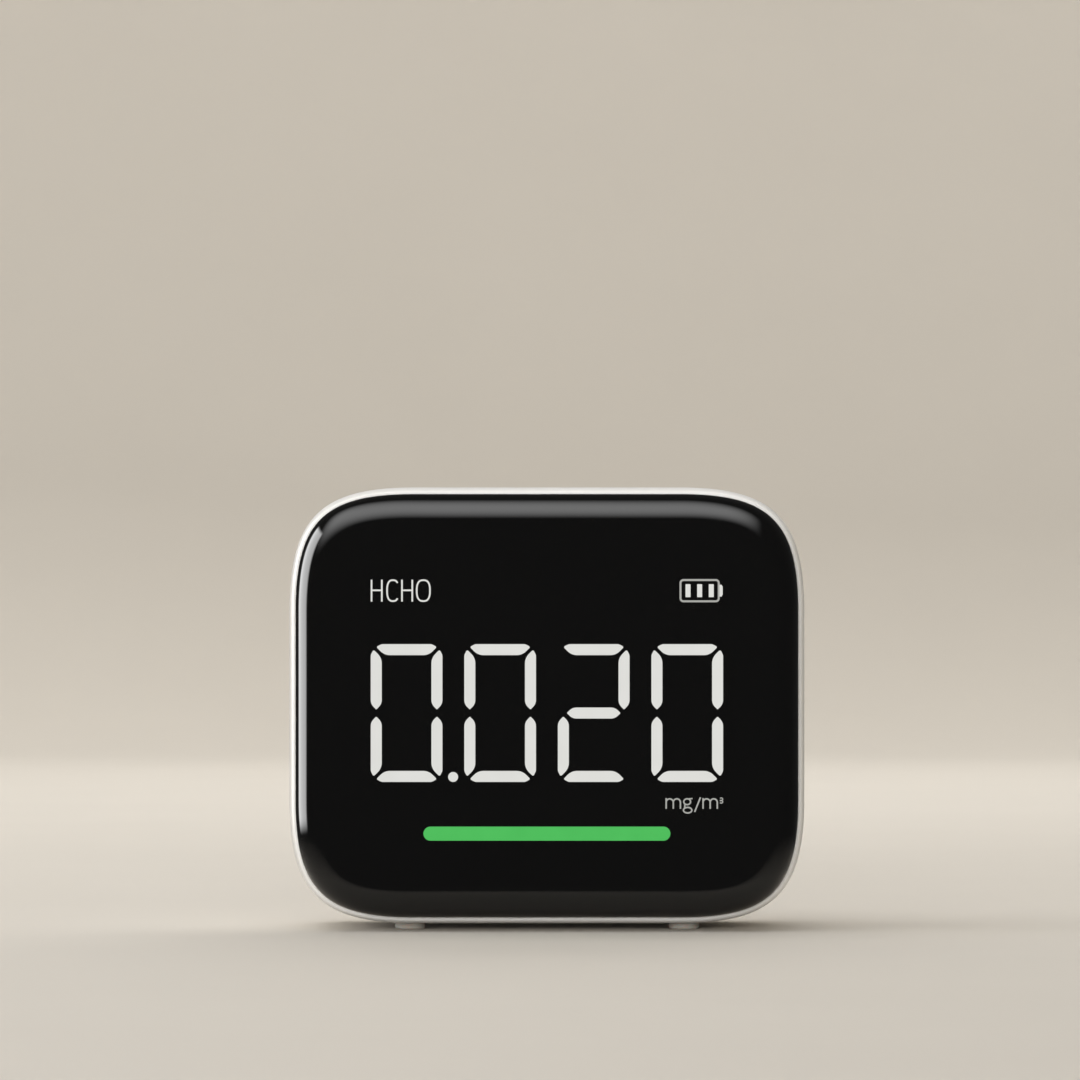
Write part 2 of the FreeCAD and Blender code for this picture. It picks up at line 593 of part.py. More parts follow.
def make_display_board():
    y0, y1 = DISPLAY_BOARD_Y, DISPLAY_BOARD_Y + DISPLAY_BOARD_T
    board = plate(DISPLAY_BOARD_W, DISPLAY_BOARD_H, y0, y1, corner=2.0)
    holes = [rod_y(x, z, DISPLAY_SCREW[2] + PASSING, y0 - 1, y1 + 1) for x, z in display_screw_places()]
    save("display_board", board.cut(holes))
    lamps = [plate(side, side, y0 - LED_T, y0, MID_Z + z, x) for x, z, side in led_places()]
    save("display_leds", *lamps)
    chip_z = MID_Z + DRIVER_Z
    save("display_driver_chip", plate(DRIVER_W, DRIVER_H, y1, y1 + DRIVER_T, chip_z, DRIVER_X, 0.2))
    socket = plate(RIBBON_W + 2.4, 4.0, y1, y1 + 2.0, 18.0, RIBBON_X)
    mouth = plate(RIBBON_W + 0.1, 2.6, RIBBON_Y - 0.2, RIBBON_Y + 0.2, 17.2, RIBBON_X)
    save("display_ribbon_socket", socket.cut(mouth))
    save("display_screws", *[placed(screw(*DISPLAY_SCREW), x, y1, z) for x, z in display_screw_places()])


def make_display_frame():
    face = slab(FRAME_FACE_GROW, FRAME_FRONT_Y, FRAME_STEP_Y)
    floor = slab(FRAME_GROW, FRAME_STEP_Y, FRAME_PLATE_BACK_Y)
    wall = slab(FRAME_GROW, FRAME_PLATE_BACK_Y, FRAME_REAR_Y).cut(
        slab(FRAME_GROW - FRAME_WALL, FRAME_PLATE_BACK_Y - 1, FRAME_REAR_Y + 1)
    )
    plate_back = FRAME_PLATE_BACK_Y
    bosses = [rod_y(x, z, SIDE_BOSS_R, plate_back, FRAME_REAR_Y) for x, z in side_screw_places()]
    bosses += [rod_y(x, z, DISPLAY_BOSS_R, plate_back, DISPLAY_BOARD_Y) for x, z in display_screw_places()]
    frame = fused([face, floor, wall] + bosses)
    opening = plate(BLOCK_W + 0.3, BLOCK_H + 0.3, FRAME_FRONT_Y - 1, FRAME_PLATE_BACK_Y + 1, corner=1.6)
    film_seat = plate(BLOCK_W + 1.2, BLOCK_H + 1.2, FRAME_FRONT_Y - 1, FRAME_FRONT_Y + 0.1, corner=2.0)
    thread, rear = FRAME_SCREW[2] + SCREW_SLACK, FRAME_REAR_Y
    holes = [rod_y(x, z, thread, rear - FRAME_HOLE_DEPTH, rear + 1) for x, z in side_screw_places()]
    thread, rear = DISPLAY_SCREW[2] + SCREW_SLACK, DISPLAY_BOARD_Y
    holes += [rod_y(x, z, thread, rear - DISPLAY_HOLE_DEPTH, rear + 1) for x, z in display_screw_places()]
    save("display_frame", frame.cut([opening, film_seat] + holes))


# ---------------------------------------------------------------- housing, cover and feet

def make_main_shell():
    rings = []
    for step in range(FLARE_STEPS + 1):
        turn = math.radians(90 * step / FLARE_STEPS)
        grow = LIP_GROW + (SHELL_GROW - LIP_GROW) * math.sin(turn)
        rings.append(outline(grow, LIP_Y + FLARE * (1 - math.cos(turn))))
    flare = Part.makeLoft(rings, True, False)
    join = JOIN_Y - JOIN_GAP / 2
    sleeve = slab(SHELL_GROW, LIP_Y + FLARE, join)
    body = flare.fuse(sleeve.makeFillet(SHUT_EDGE_R, rim_at(sleeve, join)))
    body = body.cut(slab(INNER_GROW, LIP_Y - 1, join + 1))
    inside = slab(INNER_GROW + 0.05, LIP_Y, join)
    lugs = [side_lug(x, z) for x, z in side_screw_places()]
    lugs += [
        corner_block(x, z, COVER_LUG_Y0, COVER_LUG_Y1)
        for x in both_sides(COVER_LUG_X) for z in both_sides(COVER_LUG_Z)
    ]
    shell = fused([body] + [lug.common(inside) for lug in lugs])
    passing, thread = FRAME_SCREW[2] + PASSING, COVER_SCREW[2] + SCREW_SLACK
    holes = [rod_y(x, z, passing, LUG_FRONT_Y - 1, LUG_REAR_Y + 1) for x, z in side_screw_places()]
    holes += [rod_y(x, z, thread, COVER_LUG_Y0 - 1, COVER_LUG_Y1 + 1) for x, z in cover_screw_places()]
    holes += [
        rod_z(x, y, FOOT_D / 2 + FOOT_FIT, FOOT_DROP - 1, FOOT_DROP + FOOT_SUNK)
        for x in both_sides(FOOT_X) for y in both_sides(FOOT_Y)
    ]
    save("main_shell", shell.cut(holes))


def side_lug(x, z):
    """The block on the side wall that a frame screw passes through."""
    inner = x - math.copysign(SIDE_BOSS_R + 0.1, x)
    x0, x1 = sorted((inner, math.copysign(LENS_W / 2, x)))
    return box(x0, x1, LUG_FRONT_Y, LUG_REAR_Y, z - SIDE_LUG_HALF, z + SIDE_LUG_HALF)


def cover_openings():
    """Everything cut into the cover's back, each opening a little longer than the wall is thick."""
    inside, outside = COVER_FACE_Y - 1, BACK_Y + 1
    openings = [rod_y(x, z, HEAD_BORE_R, HEAD_SEAT_Y, outside) for x, z in cover_screw_places()]
    passing = COVER_SCREW[2] + PASSING
    openings += [rod_y(x, z, passing, COVER_LUG_Y1, HEAD_SEAT_Y + 1) for x, z in cover_screw_places()]
    for step in range(VENT_COUNT):
        z = SENSOR_Z + (step - (VENT_COUNT - 1) / 2) * VENT_PITCH
        openings.append(stadium(VENT_W, VENT_SLOT, 0, z, COVER_FACE_Y - 0.01, outside))
    for grow, depth in ((USB_GAP, BACK_Y - inside), (USB_RECESS, USB_RECESS_DEPTH)):
        openings.append(stadium(USB_W + 2 * grow, USB_H + 2 * grow, 0, USB_Z, BACK_Y - depth, outside))
    openings.append(stadium(KEY_W + 2 * KEY_GAP, KEY_H + 2 * KEY_GAP, KEY_X, KEY_Z, inside, outside))
    w, h = KEY_W + 2 * KEY_DISH_RIM, KEY_H + 2 * KEY_DISH_RIM
    dish = stadium(w, h, KEY_X, KEY_Z, BACK_Y - KEY_DISH, outside)
    openings.append(dish.makeFillet(KEY_DISH_R, rim_at(dish, BACK_Y - KEY_DISH)))
    return openings


def make_rear_cover():
    join, tongue_end = JOIN_Y + JOIN_GAP / 2, COVER_LUG_Y1 + 0.1
    cover = slab(SHELL_GROW, join, BACK_Y)
    cover = cover.makeFillet(COVER_EDGE_R, rim_at(cover, BACK_Y))
    cover = cover.makeFillet(SHUT_EDGE_R, rim_at(cover, join))
    hollow = slab(INNER_GROW, join, COVER_FACE_Y)
    hollow = hollow.makeFillet(COVER_EDGE_R - COVER_WALL, rim_at(hollow, COVER_FACE_Y))
    cover = cover.cut(hollow)
    clear = slab(INNER_GROW - TONGUE_GAP - COVER_TONGUE_T, tongue_end - 1, COVER_FACE_Y)
    tongue = slab(INNER_GROW - TONGUE_GAP, tongue_end, join).cut(clear)
    root = slab(INNER_GROW + 0.05, join, join + TONGUE_OVERLAP).cut(clear)
    bosses = [rod_y(x, z, COVER_BOSS_R, tongue_end, COVER_FACE_Y + 0.5) for x, z in cover_screw_places()]
    y0, w, h = SENSOR_FACE_Y - MESH_WALL_DROP, MESH_W + 2 * MESH_WALL, MESH_H + 2 * MESH_WALL
    mesh_wall = plate(w, h, y0, COVER_FACE_Y + 0.5, SENSOR_Z, corner=2.0).cut(
        plate(MESH_W + 0.3, MESH_H + 0.3, y0 - 1, COVER_FACE_Y, SENSOR_Z, corner=1.1)
    )
    cover = fused([cover, tongue, root, mesh_wall] + bosses).cut(cover_openings())
    rims = [e for e in rim_at(cover, BACK_Y) if not on_edge_of_flat(e)]
    save("rear_cover", cover.makeFillet(OPENING_EDGE_R, rims))


def on_edge_of_flat(edge):
    """Whether an edge of the cover's back face is part of that face's outer border."""
    middle = edge.valueAt((edge.FirstParameter + edge.LastParameter) / 2)
    border = outline(SHELL_GROW - COVER_EDGE_R, BACK_Y)
    return border.distToShape(Part.Vertex(middle))[0] < 0.1


def make_cover_fittings():
    wires = plate(MESH_W, MESH_H, COVER_FACE_Y - MESH_T, COVER_FACE_Y, SENSOR_Z, corner=1.0)
    save("vent_mesh", wires.cut(mesh_holes()))
    save("cover_screws", *[placed(screw(*COVER_SCREW), x, HEAD_SEAT_Y, z) for x, z in cover_screw_places()])


def mesh_holes():
    """Square openings of the dust mesh, only where the slots show them."""
    found = []
    for i in range(MESH_COLUMNS):
        for k in range(MESH_ROWS):
            x = (i - (MESH_COLUMNS - 1) / 2) * MESH_PITCH
            z = SENSOR_Z + (k - (MESH_ROWS - 1) / 2) * MESH_PITCH
            found.append(plate(MESH_HOLE, MESH_HOLE, COVER_FACE_Y - 1, COVER_FACE_Y + 1, z, x))
    return found


def make_feet():
    for end, y in (("front", -FOOT_Y), ("rear", FOOT_Y)):
        for side, x in (("left", -FOOT_X), ("right", FOOT_X)):
            foot = rod_z(x, y, FOOT_D / 2, 0, FOOT_DROP + FOOT_SUNK - 0.02)
            low = [e for e in foot.Edges if e.BoundBox.ZMax < 1e-6]
            save(f"foot_{end}_{side}", foot.makeFillet(FOOT_EDGE_R, low))


# ---------------------------------------------------------------- chassis and main board

def make_chassis():
    y0, y1, low_z, top_z = CHASSIS_Y, CHASSIS_BACK_Y, SHELF_Z, SHELF_Z + SHELF_T
    notches = [
        corner_block(x, z, y0 - 1, y1 + 1)
        for x in both_sides(COVER_LUG_X - LUG_CLEAR) for z in both_sides(COVER_LUG_Z - LUG_CLEAR)
    ]
    upright = slab(CHASSIS_GROW, y0, y1).cut(notches)
    shelf = box(-SHELF_HALF_W, SHELF_HALF_W, y0, SHELF_END_Y, low_z, top_z)
    profile = [(y1, top_z), (y1 + GUSSET_REACH, top_z), (y1, top_z + GUSSET_RISE)]
    gussets = [prism_x(profile, x - GUSSET_T / 2, x + GUSSET_T / 2) for x in both_sides(GUSSET_X)]
    standoffs = [rod_z(x, y, STANDOFF_R, top_z, BOARD_Z) for x, y in board_screw_places()]
    chassis = fused([upright, shelf] + gussets + standoffs)
    passing, thread = FRAME_SCREW[2] + PASSING, BOARD_SCREW[2] + SCREW_SLACK
    cuts = [rod_y(x, z, passing, y0 - 1, y1 + 1) for x, z in side_screw_places()]
    cuts += [rod_z(x, y, thread, low_z, BOARD_Z + 1) for x, y in board_screw_places()]
    cuts.append(plate(RIBBON_W + 2.0, RIBBON_WINDOW_H, y0 - 1, y1 + 1, RIBBON_Z, RIBBON_X))
    save("inner_chassis", chassis.cut(cuts))
    save("frame_screws", *[placed(screw(*FRAME_SCREW), x, y1, z) for x, z in side_screw_places()])


def prism_x(points, x0, x1):
    """A polygon of (y, z) points, swept from x0 to x1."""
    corners = [V(x0, y, z) for y, z in points]
    return Part.Face(Part.makePolygon(corners + corners[:1])).extrude(V(x1 - x0, 0, 0))


def chip(x, y, wide, deep, tall, corner=0.0):
    """A part soldered on top of the main board."""
    solid = box(x - wide / 2, x + wide / 2, y - deep / 2, y + deep / 2, BOARD_TOP_Z, BOARD_TOP_Z + tall)
    return solid.makeFillet(corner, edges_along(solid, V(0, 0, 1))) if corner else solid


def make_main_board():
    board = box(-BOARD_HALF_W, BOARD_HALF_W, BOARD_Y0, BOARD_Y1, BOARD_Z, BOARD_TOP_Z)
    board = board.makeFillet(1.5, edges_along(board, V(0, 0, 1)))
    z0, z1 = BOARD_Z - 1, BOARD_TOP_Z + 1
    holes = [rod_z(x, y, BOARD_SCREW[2] + PASSING, z0, z1) for x, y in board_screw_places()]
    holes += [rod_z(x, HEADER_PIN_Y, HEADER_HOLE_R, z0, z1) for x in header_xs()]
    save("main_board", board.cut(holes))
    fixing = screw(*BOARD_SCREW)
    save("board_screws", *[placed(fixing, x, y, BOARD_TOP_Z, UPRIGHT) for x, y in board_screw_places()])
    save("controller_chip", chip(10.5, 7.6, 6.0, 6.0, 0.9, 0.3))
    save("charger_chip", chip(-9.5, 9.5, 3.0, 3.0, 0.9, 0.2))
    save("power_inductor", chip(-14.6, 9.6, 4.0, 4.0, 2.0, 0.8))
    save("clock_crystal", chip(10.5, 12.0, 3.2, 1.5, 0.7, 0.3))
    places = [(-9.5 + 1.9 * i, 12.6) for i in range(2)] + [(15.6, 5.0 + 1.6 * i) for i in range(3)]
    places += [(-17.8, 13.2), (-15.0, 13.2), (-9.5, 6.4), (15.0, 1.2)]
    save("capacitors", *[chip(x, y, 1.0, 0.6, 0.5) for x, y in places])
    socket = chip(RIBBON_X, 0.3, RIBBON_W + 2.4, 3.4, 2.2)
    mouth = plate(RIBBON_W + 0.1, 0.4, -2.0, RIBBON_END_Y + 0.1, RIBBON_Z, RIBBON_X)
    save("main_ribbon_socket", socket.cut(mouth))


def make_ribbon():
    """A flat cable: down from the display board, one round bend, then level to the main board."""
    t, r = RIBBON_T / 2, RIBBON_BEND
    top_z, end_y = RIBBON_TOP_Z, RIBBON_END_Y
    x0 = RIBBON_X - RIBBON_W / 2
    centre = V(x0, RIBBON_Y + r, RIBBON_Z + r)

    def bend(radius):
        s = radius / math.sqrt(2)
        return Part.Arc(centre + V(0, -radius, 0), centre + V(0, -s, -s), centre + V(0, 0, -radius)).toShape()

    inner, outer = bend(r - t), bend(r + t)
    corners = [
        V(x0, RIBBON_Y + t, top_z), V(x0, RIBBON_Y - t, top_z),
        V(x0, end_y, RIBBON_Z - t), V(x0, end_y, RIBBON_Z + t),
    ]
    edges = [
        Part.makeLine(corners[0], corners[1]), Part.makeLine(corners[1], outer.firstVertex().Point), outer,
        Part.makeLine(outer.lastVertex().Point, corners[2]), Part.makeLine(corners[2], corners[3]),
        Part.makeLine(corners[3], inner.lastVertex().Point), inner,
        Part.makeLine(inner.firstVertex().Point, corners[0]),
    ]
    save("display_ribbon", Part.Face(Part.Wire(Part.__sortEdges__(edges))).extrude(V(RIBBON_W, 0, 0)))


def make_usb_socket():
    y0, y1 = USB_MOUTH_Y - USB_DEPTH, USB_MOUTH_Y
    can = stadium(USB_W, USB_H, 0, USB_Z, y0, y1)
    bore = stadium(USB_W - 2 * USB_WALL, USB_H - 2 * USB_WALL, 0, USB_Z, y0 - 1, y1 + 1)
    save("usb_socket", can.cut(bore))
    root_y = y0 + USB_FLOOR_T
    plug_floor = stadium(USB_W - 2 * USB_WALL, USB_H - 2 * USB_WALL, 0, USB_Z, y0, root_y)
    tongue = plate(TONGUE_W, TONGUE_T, root_y, y1 - TONGUE_BACK, USB_Z)
    save("usb_tongue", fused([plug_floor, tongue]))
    contacts = []
    for i in range(CONTACTS):
        x = (i - (CONTACTS - 1) / 2) * CONTACT_PITCH
        for side in both_sides((TONGUE_T + CONTACT_T) / 2):
            contacts.append(plate(CONTACT_W, CONTACT_T, root_y, y1 - TONGUE_BACK - 0.3, USB_Z + side, x))
    save("usb_contacts", *contacts)


# ---------------------------------------------------------------- power button

def make_power_button():
    y0, y1 = PLUNGER_END_Y + PIN_FIT, COVER_FACE_Y - 0.1
    key = stadium(KEY_W, KEY_H, KEY_X, KEY_Z, y0, BACK_Y)
    key = key.makeFillet(KEY_EDGE_R, rim_at(key, BACK_Y))
    flange = stadium(KEY_W + 2 * KEY_FLANGE, KEY_H + 2 * KEY_FLANGE, KEY_X, KEY_Z, y0, y1)
    save("power_button", fused([key, flange]))

    w, h, mouth = PLUNGER_W, PLUNGER_H, SWITCH_Y1
    body = plate(SWITCH_W, SWITCH_H, SWITCH_Y0, mouth, KEY_Z, KEY_X, 0.3)
    bore = plate(w + 2 * PIN_FIT, h + 2 * PIN_FIT, mouth - PLUNGER_IN - 0.5, mouth + 1, KEY_Z, KEY_X)
    save("switch_body", body.cut(bore))
    save("switch_plunger", plate(w, h, mouth - PLUNGER_IN, PLUNGER_END_Y, KEY_Z, KEY_X, 0.2))


# ---------------------------------------------------------------- battery

def make_battery():
    cell = box(-CELL_W / 2, CELL_W / 2, CELL_Y, CELL_Y + CELL_T, CELL_Z, CELL_Z + CELL_H)
    cell = cell.makeFillet(CELL_EDGE_R, edges_along(cell, V(0, 0, 1)))
    save("battery_cell", cell)
    save("battery_tape", plate(TAPE_W, TAPE_H, CHASSIS_BACK_Y, CELL_Y, CELL_Z + CELL_H / 2))

    x, y, plug_z = PLUG_X, PLUG_Y, BOARD_TOP_Z + PLUG_Z
    half_w, half_d, half_h = SOCKET_W / 2, SOCKET_DEPTH / 2, SOCKET_H / 2
    socket = box(x - half_w, x + half_w, y - half_d, y + half_d, plug_z - half_h, plug_z + half_h)
    half_d, half_h = half_d - SOCKET_WALL, half_h - SOCKET_WALL
    stop = x + half_w - SOCKET_BACK
    bore = box(x - half_w - 1, stop, y - half_d, y + half_d, plug_z - half_h, plug_z + half_h)
    save("battery_socket", socket.cut(bore))
    half_d, half_h = half_d - PLUG_FIT, half_h - PLUG_FIT
    plug = box(x - PLUG_TAIL, stop - PLUG_FIT, y - half_d, y + half_d, plug_z - half_h, plug_z + half_h)
    save("battery_plug", plug)

    cell_y = CELL_Y + CELL_T / 2
    for name, side, start_z in (("positive", -0.7, 24.0), ("negative", 0.7, 26.6)):
        points = [
            (-CELL_W / 2, cell_y, start_z), (-25.0, cell_y, start_z),
            (-28.0 - side, 0.4 + side, start_z - 2.1), (-29.4 - side, 2.6 + side, (start_z + 8.6) / 2),
            (-28.2 - side, y + side, plug_z), (x - PLUG_TAIL, y + side, plug_z),
        ]
        save(f"battery_lead_{name}", tube(points, LEAD_D / 2))


# ---------------------------------------------------------------- sensor

def header_xs():
    return [(i - (HEADER_PINS - 1) / 2) * HEADER_PITCH for i in range(HEADER_PINS)]


def sensor_pin_places():
    turns = [2 * math.pi * i / SENSOR_PINS for i in range(SENSOR_PINS)]
    return [(SENSOR_PIN_CIRCLE * math.sin(a), SENSOR_Z + SENSOR_PIN_CIRCLE * math.cos(a)) for a in turns]


def make_sensor():
    y0, y1 = SENSOR_BOARD_Y, SENSOR_BOARD_Y + SENSOR_BOARD_T
    half_w, low_z, top_z = SENSOR_BOARD_W / 2, BOARD_TOP_Z + 0.2, SENSOR_Z + SENSOR_BOARD_W / 2
    board = box(-half_w, half_w, y0, y1, low_z, top_z)
    board = board.makeFillet(1.5, edges_along(board, V(0, 1, 0)))
    cuts = [rod_y(x, z, SENSOR_PIN_R + PIN_FIT, y0 - 1, y1 + 1) for x, z in sensor_pin_places()]
    cuts += [rod_y(x, HEADER_Z, HEADER_HOLE_R, y0 - 1, y1 + 1) for x in header_xs()]
    save("sensor_board", board.cut(cuts))

    low_y, face_y = y1 + SENSOR_GAP, SENSOR_FACE_Y
    can = rod_y(0, SENSOR_Z, SENSOR_D / 2, low_y, face_y)
    can = can.makeFillet(0.5, rim_at(can, low_y))
    seat = rod_y(0, SENSOR_Z, MEMBRANE_R, face_y - MEMBRANE_T, face_y + 1)
    port = rod_y(0, SENSOR_Z, PORT_R, face_y - PORT_DEPTH, face_y + 1)
    save("formaldehyde_sensor", can.cut([seat, port]))
    save("sensor_membrane", rod_y(0, SENSOR_Z, MEMBRANE_R, face_y - MEMBRANE_T, face_y))
    pins = [rod_y(x, z, SENSOR_PIN_R, y0 - PIN_STUB, low_y) for x, z in sensor_pin_places()]
    save("sensor_pins", *pins)
    gasket = rod_y(0, SENSOR_Z, SENSOR_D / 2, face_y, COVER_FACE_Y - MESH_T)
    save("sensor_gasket", gasket.cut(rod_y(0, SENSOR_Z, GASKET_R, face_y - 1, COVER_FACE_Y)))
    make_header(y0, y1)


def make_header(y0, y1):
    """The bent pins that carry the sensor board, which spans y0 to y1, and the block that holds them."""
    length = HEADER_PINS * HEADER_PITCH
    holder = box(-length / 2, length / 2, y1, y1 + HEADER_SIDE, BOARD_TOP_Z, BOARD_TOP_Z + HEADER_SIDE)
    pins = []
    t = HEADER_PIN_T / 2
    for x in header_xs():
        level = box(x - t, x + t, y0 - PIN_STUB, HEADER_PIN_Y + t, HEADER_Z - t, HEADER_Z + t)
        down = box(x - t, x + t, HEADER_PIN_Y - t, HEADER_PIN_Y + t, BOARD_Z - PIN_STUB, HEADER_Z + t)
        pins.append(fused([level, down]))
    save("header_pins", *pins)
    save("header_block", holder.cut(pins))


def main():
    make_front()
    make_light_block()
    make_display_board()
    make_display_frame()
    make_main_shell()
    make_rear_cover()
    make_cover_fittings()
    make_feet()
    make_chassis()
    make_main_board()
    make_ribbon()
    make_usb_socket()
    make_power_button()
    make_battery()
    make_sensor()
    print(len(MADE), "nodes")


main()
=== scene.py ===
"""Looks of the desktop formaldehyde monitor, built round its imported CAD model.

Metres, in the CAD model's frame: +Z is up, the display faces -Y, +X is to the viewer's right.
Surfaces are worked out as grids of points, and every finish is made of shader nodes.
"""

import json
import math

import bpy
import numpy as np
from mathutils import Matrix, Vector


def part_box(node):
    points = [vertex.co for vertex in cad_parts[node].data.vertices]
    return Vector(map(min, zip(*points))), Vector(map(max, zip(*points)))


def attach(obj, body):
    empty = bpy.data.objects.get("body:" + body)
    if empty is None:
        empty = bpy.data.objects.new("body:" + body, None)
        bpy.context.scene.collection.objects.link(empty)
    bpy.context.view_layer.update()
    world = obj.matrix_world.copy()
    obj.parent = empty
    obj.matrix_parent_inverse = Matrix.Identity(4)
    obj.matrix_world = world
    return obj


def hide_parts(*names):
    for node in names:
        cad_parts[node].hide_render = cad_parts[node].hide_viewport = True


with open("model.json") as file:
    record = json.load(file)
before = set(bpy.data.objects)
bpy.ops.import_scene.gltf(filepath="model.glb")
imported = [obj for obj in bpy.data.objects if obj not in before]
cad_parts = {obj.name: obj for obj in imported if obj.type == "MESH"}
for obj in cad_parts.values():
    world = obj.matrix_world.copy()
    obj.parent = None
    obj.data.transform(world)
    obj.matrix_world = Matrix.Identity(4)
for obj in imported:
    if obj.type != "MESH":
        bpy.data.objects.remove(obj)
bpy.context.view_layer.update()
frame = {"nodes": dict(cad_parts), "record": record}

MM = 0.001
HOUSING = "housing"

# ---------------------------------------------------------------- sizes, from the CAD model's nodes

lens_low, lens_high = (np.array(corner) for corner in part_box("front_lens"))
shell_low, shell_high = (np.array(corner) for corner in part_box("main_shell"))

HALF_W = (lens_high[0] - lens_low[0]) / 2
HALF_H = (lens_high[2] - lens_low[2]) / 2
MID_Z = (lens_high[2] + lens_low[2]) / 2
FRONT, LENS_REAR = lens_low[1], lens_high[1]
SHELL_GROW = shell_high[0] - lens_high[0]
CORNER_RUN, CORNER_PULL, PULL_GROWTH = 17.8 * MM, 4.2 * MM, 0.448
CORNER_POINTS, SIDE_POINTS = 41, 13
LENS_WALL, LENS_EDGE, LENS_RIM_R = 1.8 * MM, 4.2 * MM, 0.15 * MM
LIP_GROW, FLARE = 0.15 * MM, 3.0 * MM     # the lip's growth beyond the lens, and how deep its swelling runs
SHELL_WALL, SHELL_RIM_R = 2.2 * MM, 0.18 * MM
EDGE_STEPS, FLARE_STEPS, INNER_STEPS, RIM_STEPS = 24, 20, 12, 4
FACE_RINGS, BACK_RING, LIP_RING = (1.5 * MM, 0.2 * MM), 0.5 * MM, 0.3 * MM     # extra rings in from an edge
SHARP_ANGLE = 35

# a foot's sole: a shallow hollow, then a ring that it stands on
SOLE_MIDDLE_R, HOLLOW_R, HOLLOW_DEPTH = 0.4 * MM, 1.5 * MM, 0.12 * MM
RING_TURN_R, RING_TURN_Z, RING_R = 1.62 * MM, 0.02 * MM, 1.75 * MM
FOOT_EDGE_R, FOOT_TOP_R, FOOT_BEVEL, FOOT_STEPS = 0.3 * MM, 0.5 * MM, 0.05 * MM, 8

# the reading and its labels
DIGIT_W, DIGIT_H, DIGIT_PITCH, DIGIT_Z = 10.79 * MM, 20.74 * MM, 14.08 * MM, -1.01 * MM
BAR_T, MITRE_GAP, TIP_GAP = 1.66 * MM, 0.40 * MM, 0.52 * MM
TIP_CUT, TIP_RUN = 0.42 * MM, 0.80 * MM     # a mitred end's tip from the outer edge, and the cut beside it
TIP_R, CUT_R, SHOULDER_R, MITRE_R, POINT_R = 0.20 * MM, 1.0 * MM, 1.5 * MM, 2.0 * MM, 0.12 * MM
POINT_D, POINT_AT = 1.5 * MM, 12.40 * MM
LEVEL_W, LEVEL_H, LEVEL_Z = 37.17 * MM, 2.12 * MM, -19.16 * MM
READING = ("abcdef", "abcdef", "abged", "abcdef")     # the lit segments of each digit
POINT_AFTER = 0
PROUD, BURIED = 0.02 * MM, 0.06 * MM     # how far a lit window stands out of the face, and goes in

LABEL_TOP, LABEL_H, LABEL_STROKE = 19.06 * MM, 3.30 * MM, 0.25 * MM
H_STARTS, H_WIDTH, CROSSBAR_AT = (0.0, 4.58 * MM), 1.80 * MM, 0.515
C_MIDDLE, C_HALF, C_OPEN = 3.34 * MM, 1.00 * MM, 42     # its ends are this many degrees from its middle line
O_MIDDLE, O_HALF, PAST_LINE = 7.92 * MM, 1.12 * MM, 0.05 * MM     # round letters run a little past the line

UNIT_BASE, UNIT_X, UNIT_H, UNIT_STROKE = -15.42 * MM, 17.84 * MM, 1.61 * MM, 0.22 * MM
M_STARTS, M_WIDTH, ARCH_START, ARCH_STEPS = (0.0, 5.55 * MM), 2.36 * MM, 165, 10
G_START, G_WIDTH = 2.60 * MM, 1.48 * MM
SLASH = ((4.39 * MM, -0.48 * MM), (5.27 * MM, 1.72 * MM))
THREE_X, THREE_BOWS, THREE_RADII = 8.39 * MM, (1.04 * MM, 1.45 * MM), (0.23 * MM, 0.19 * MM)
THREE_TURN, THREE_STROKE = 140, 0.15 * MM

ICON_X, ICON_TOP, ICON_W, ICON_H, ICON_LINE = 19.96 * MM, 19.15 * MM, 6.05 * MM, 3.49 * MM, 0.29 * MM
ICON_CORNER_R, CHARGE_R = 0.45 * MM, 0.06 * MM
CHARGE_W, CHARGE_H, CHARGE_PITCH = 0.75 * MM, 1.95 * MM, 1.75 * MM
NUB_FOOT, NUB_BEND, NUB_REACH = -0.06 * MM, 0.26 * MM, 0.44 * MM     # from the outline's right side
NUB_HALF, NUB_TIP_HALF, NUB_FOOT_R, NUB_R = 0.9 * MM, 0.6 * MM, 0.02 * MM, 0.1 * MM
SQUARE = ((-1, -1), (1, -1), (1, 1), (-1, 1))     # a rectangle's corners, in turn
ROUND_END = 0.999     # just under a half circle, so that two arcs never share a point


# ---------------------------------------------------------------- surfaces

def grid(points, cap_start=True, cap_end=True):
    """A surface through closed rows of points, each joined to the next, its end rows filled in."""
    rows, columns = points.shape[:2]
    at = np.arange(rows * columns).reshape(rows, columns)
    at = np.hstack([at, at[:, :1]])
    faces = np.stack([at[:-1, :-1], at[1:, :-1], at[1:, 1:], at[:-1, 1:]], axis=-1).reshape(-1, 4).tolist()
    if cap_start:
        faces.append(at[0, :columns].tolist())
    if cap_end:
        faces.append(at[-1, :columns][::-1].tolist())
    return points.reshape(-1, 3), faces


def outward(surface):
    """The same closed surface with its faces pointing outwards: a negative volume turns them round."""
    points, faces = surface
    fans = np.array([(f[0], f[i], f[i + 1]) for f in faces for i in range(1, len(f) - 1)])
    corners = points[fans] - points.mean(axis=0)
    volume = np.einsum("ij,ij->i", corners[:, 0], np.cross(corners[:, 1], corners[:, 2])).sum()
    return (points, faces) if volume > 0 else (points, [f[::-1] for f in faces])


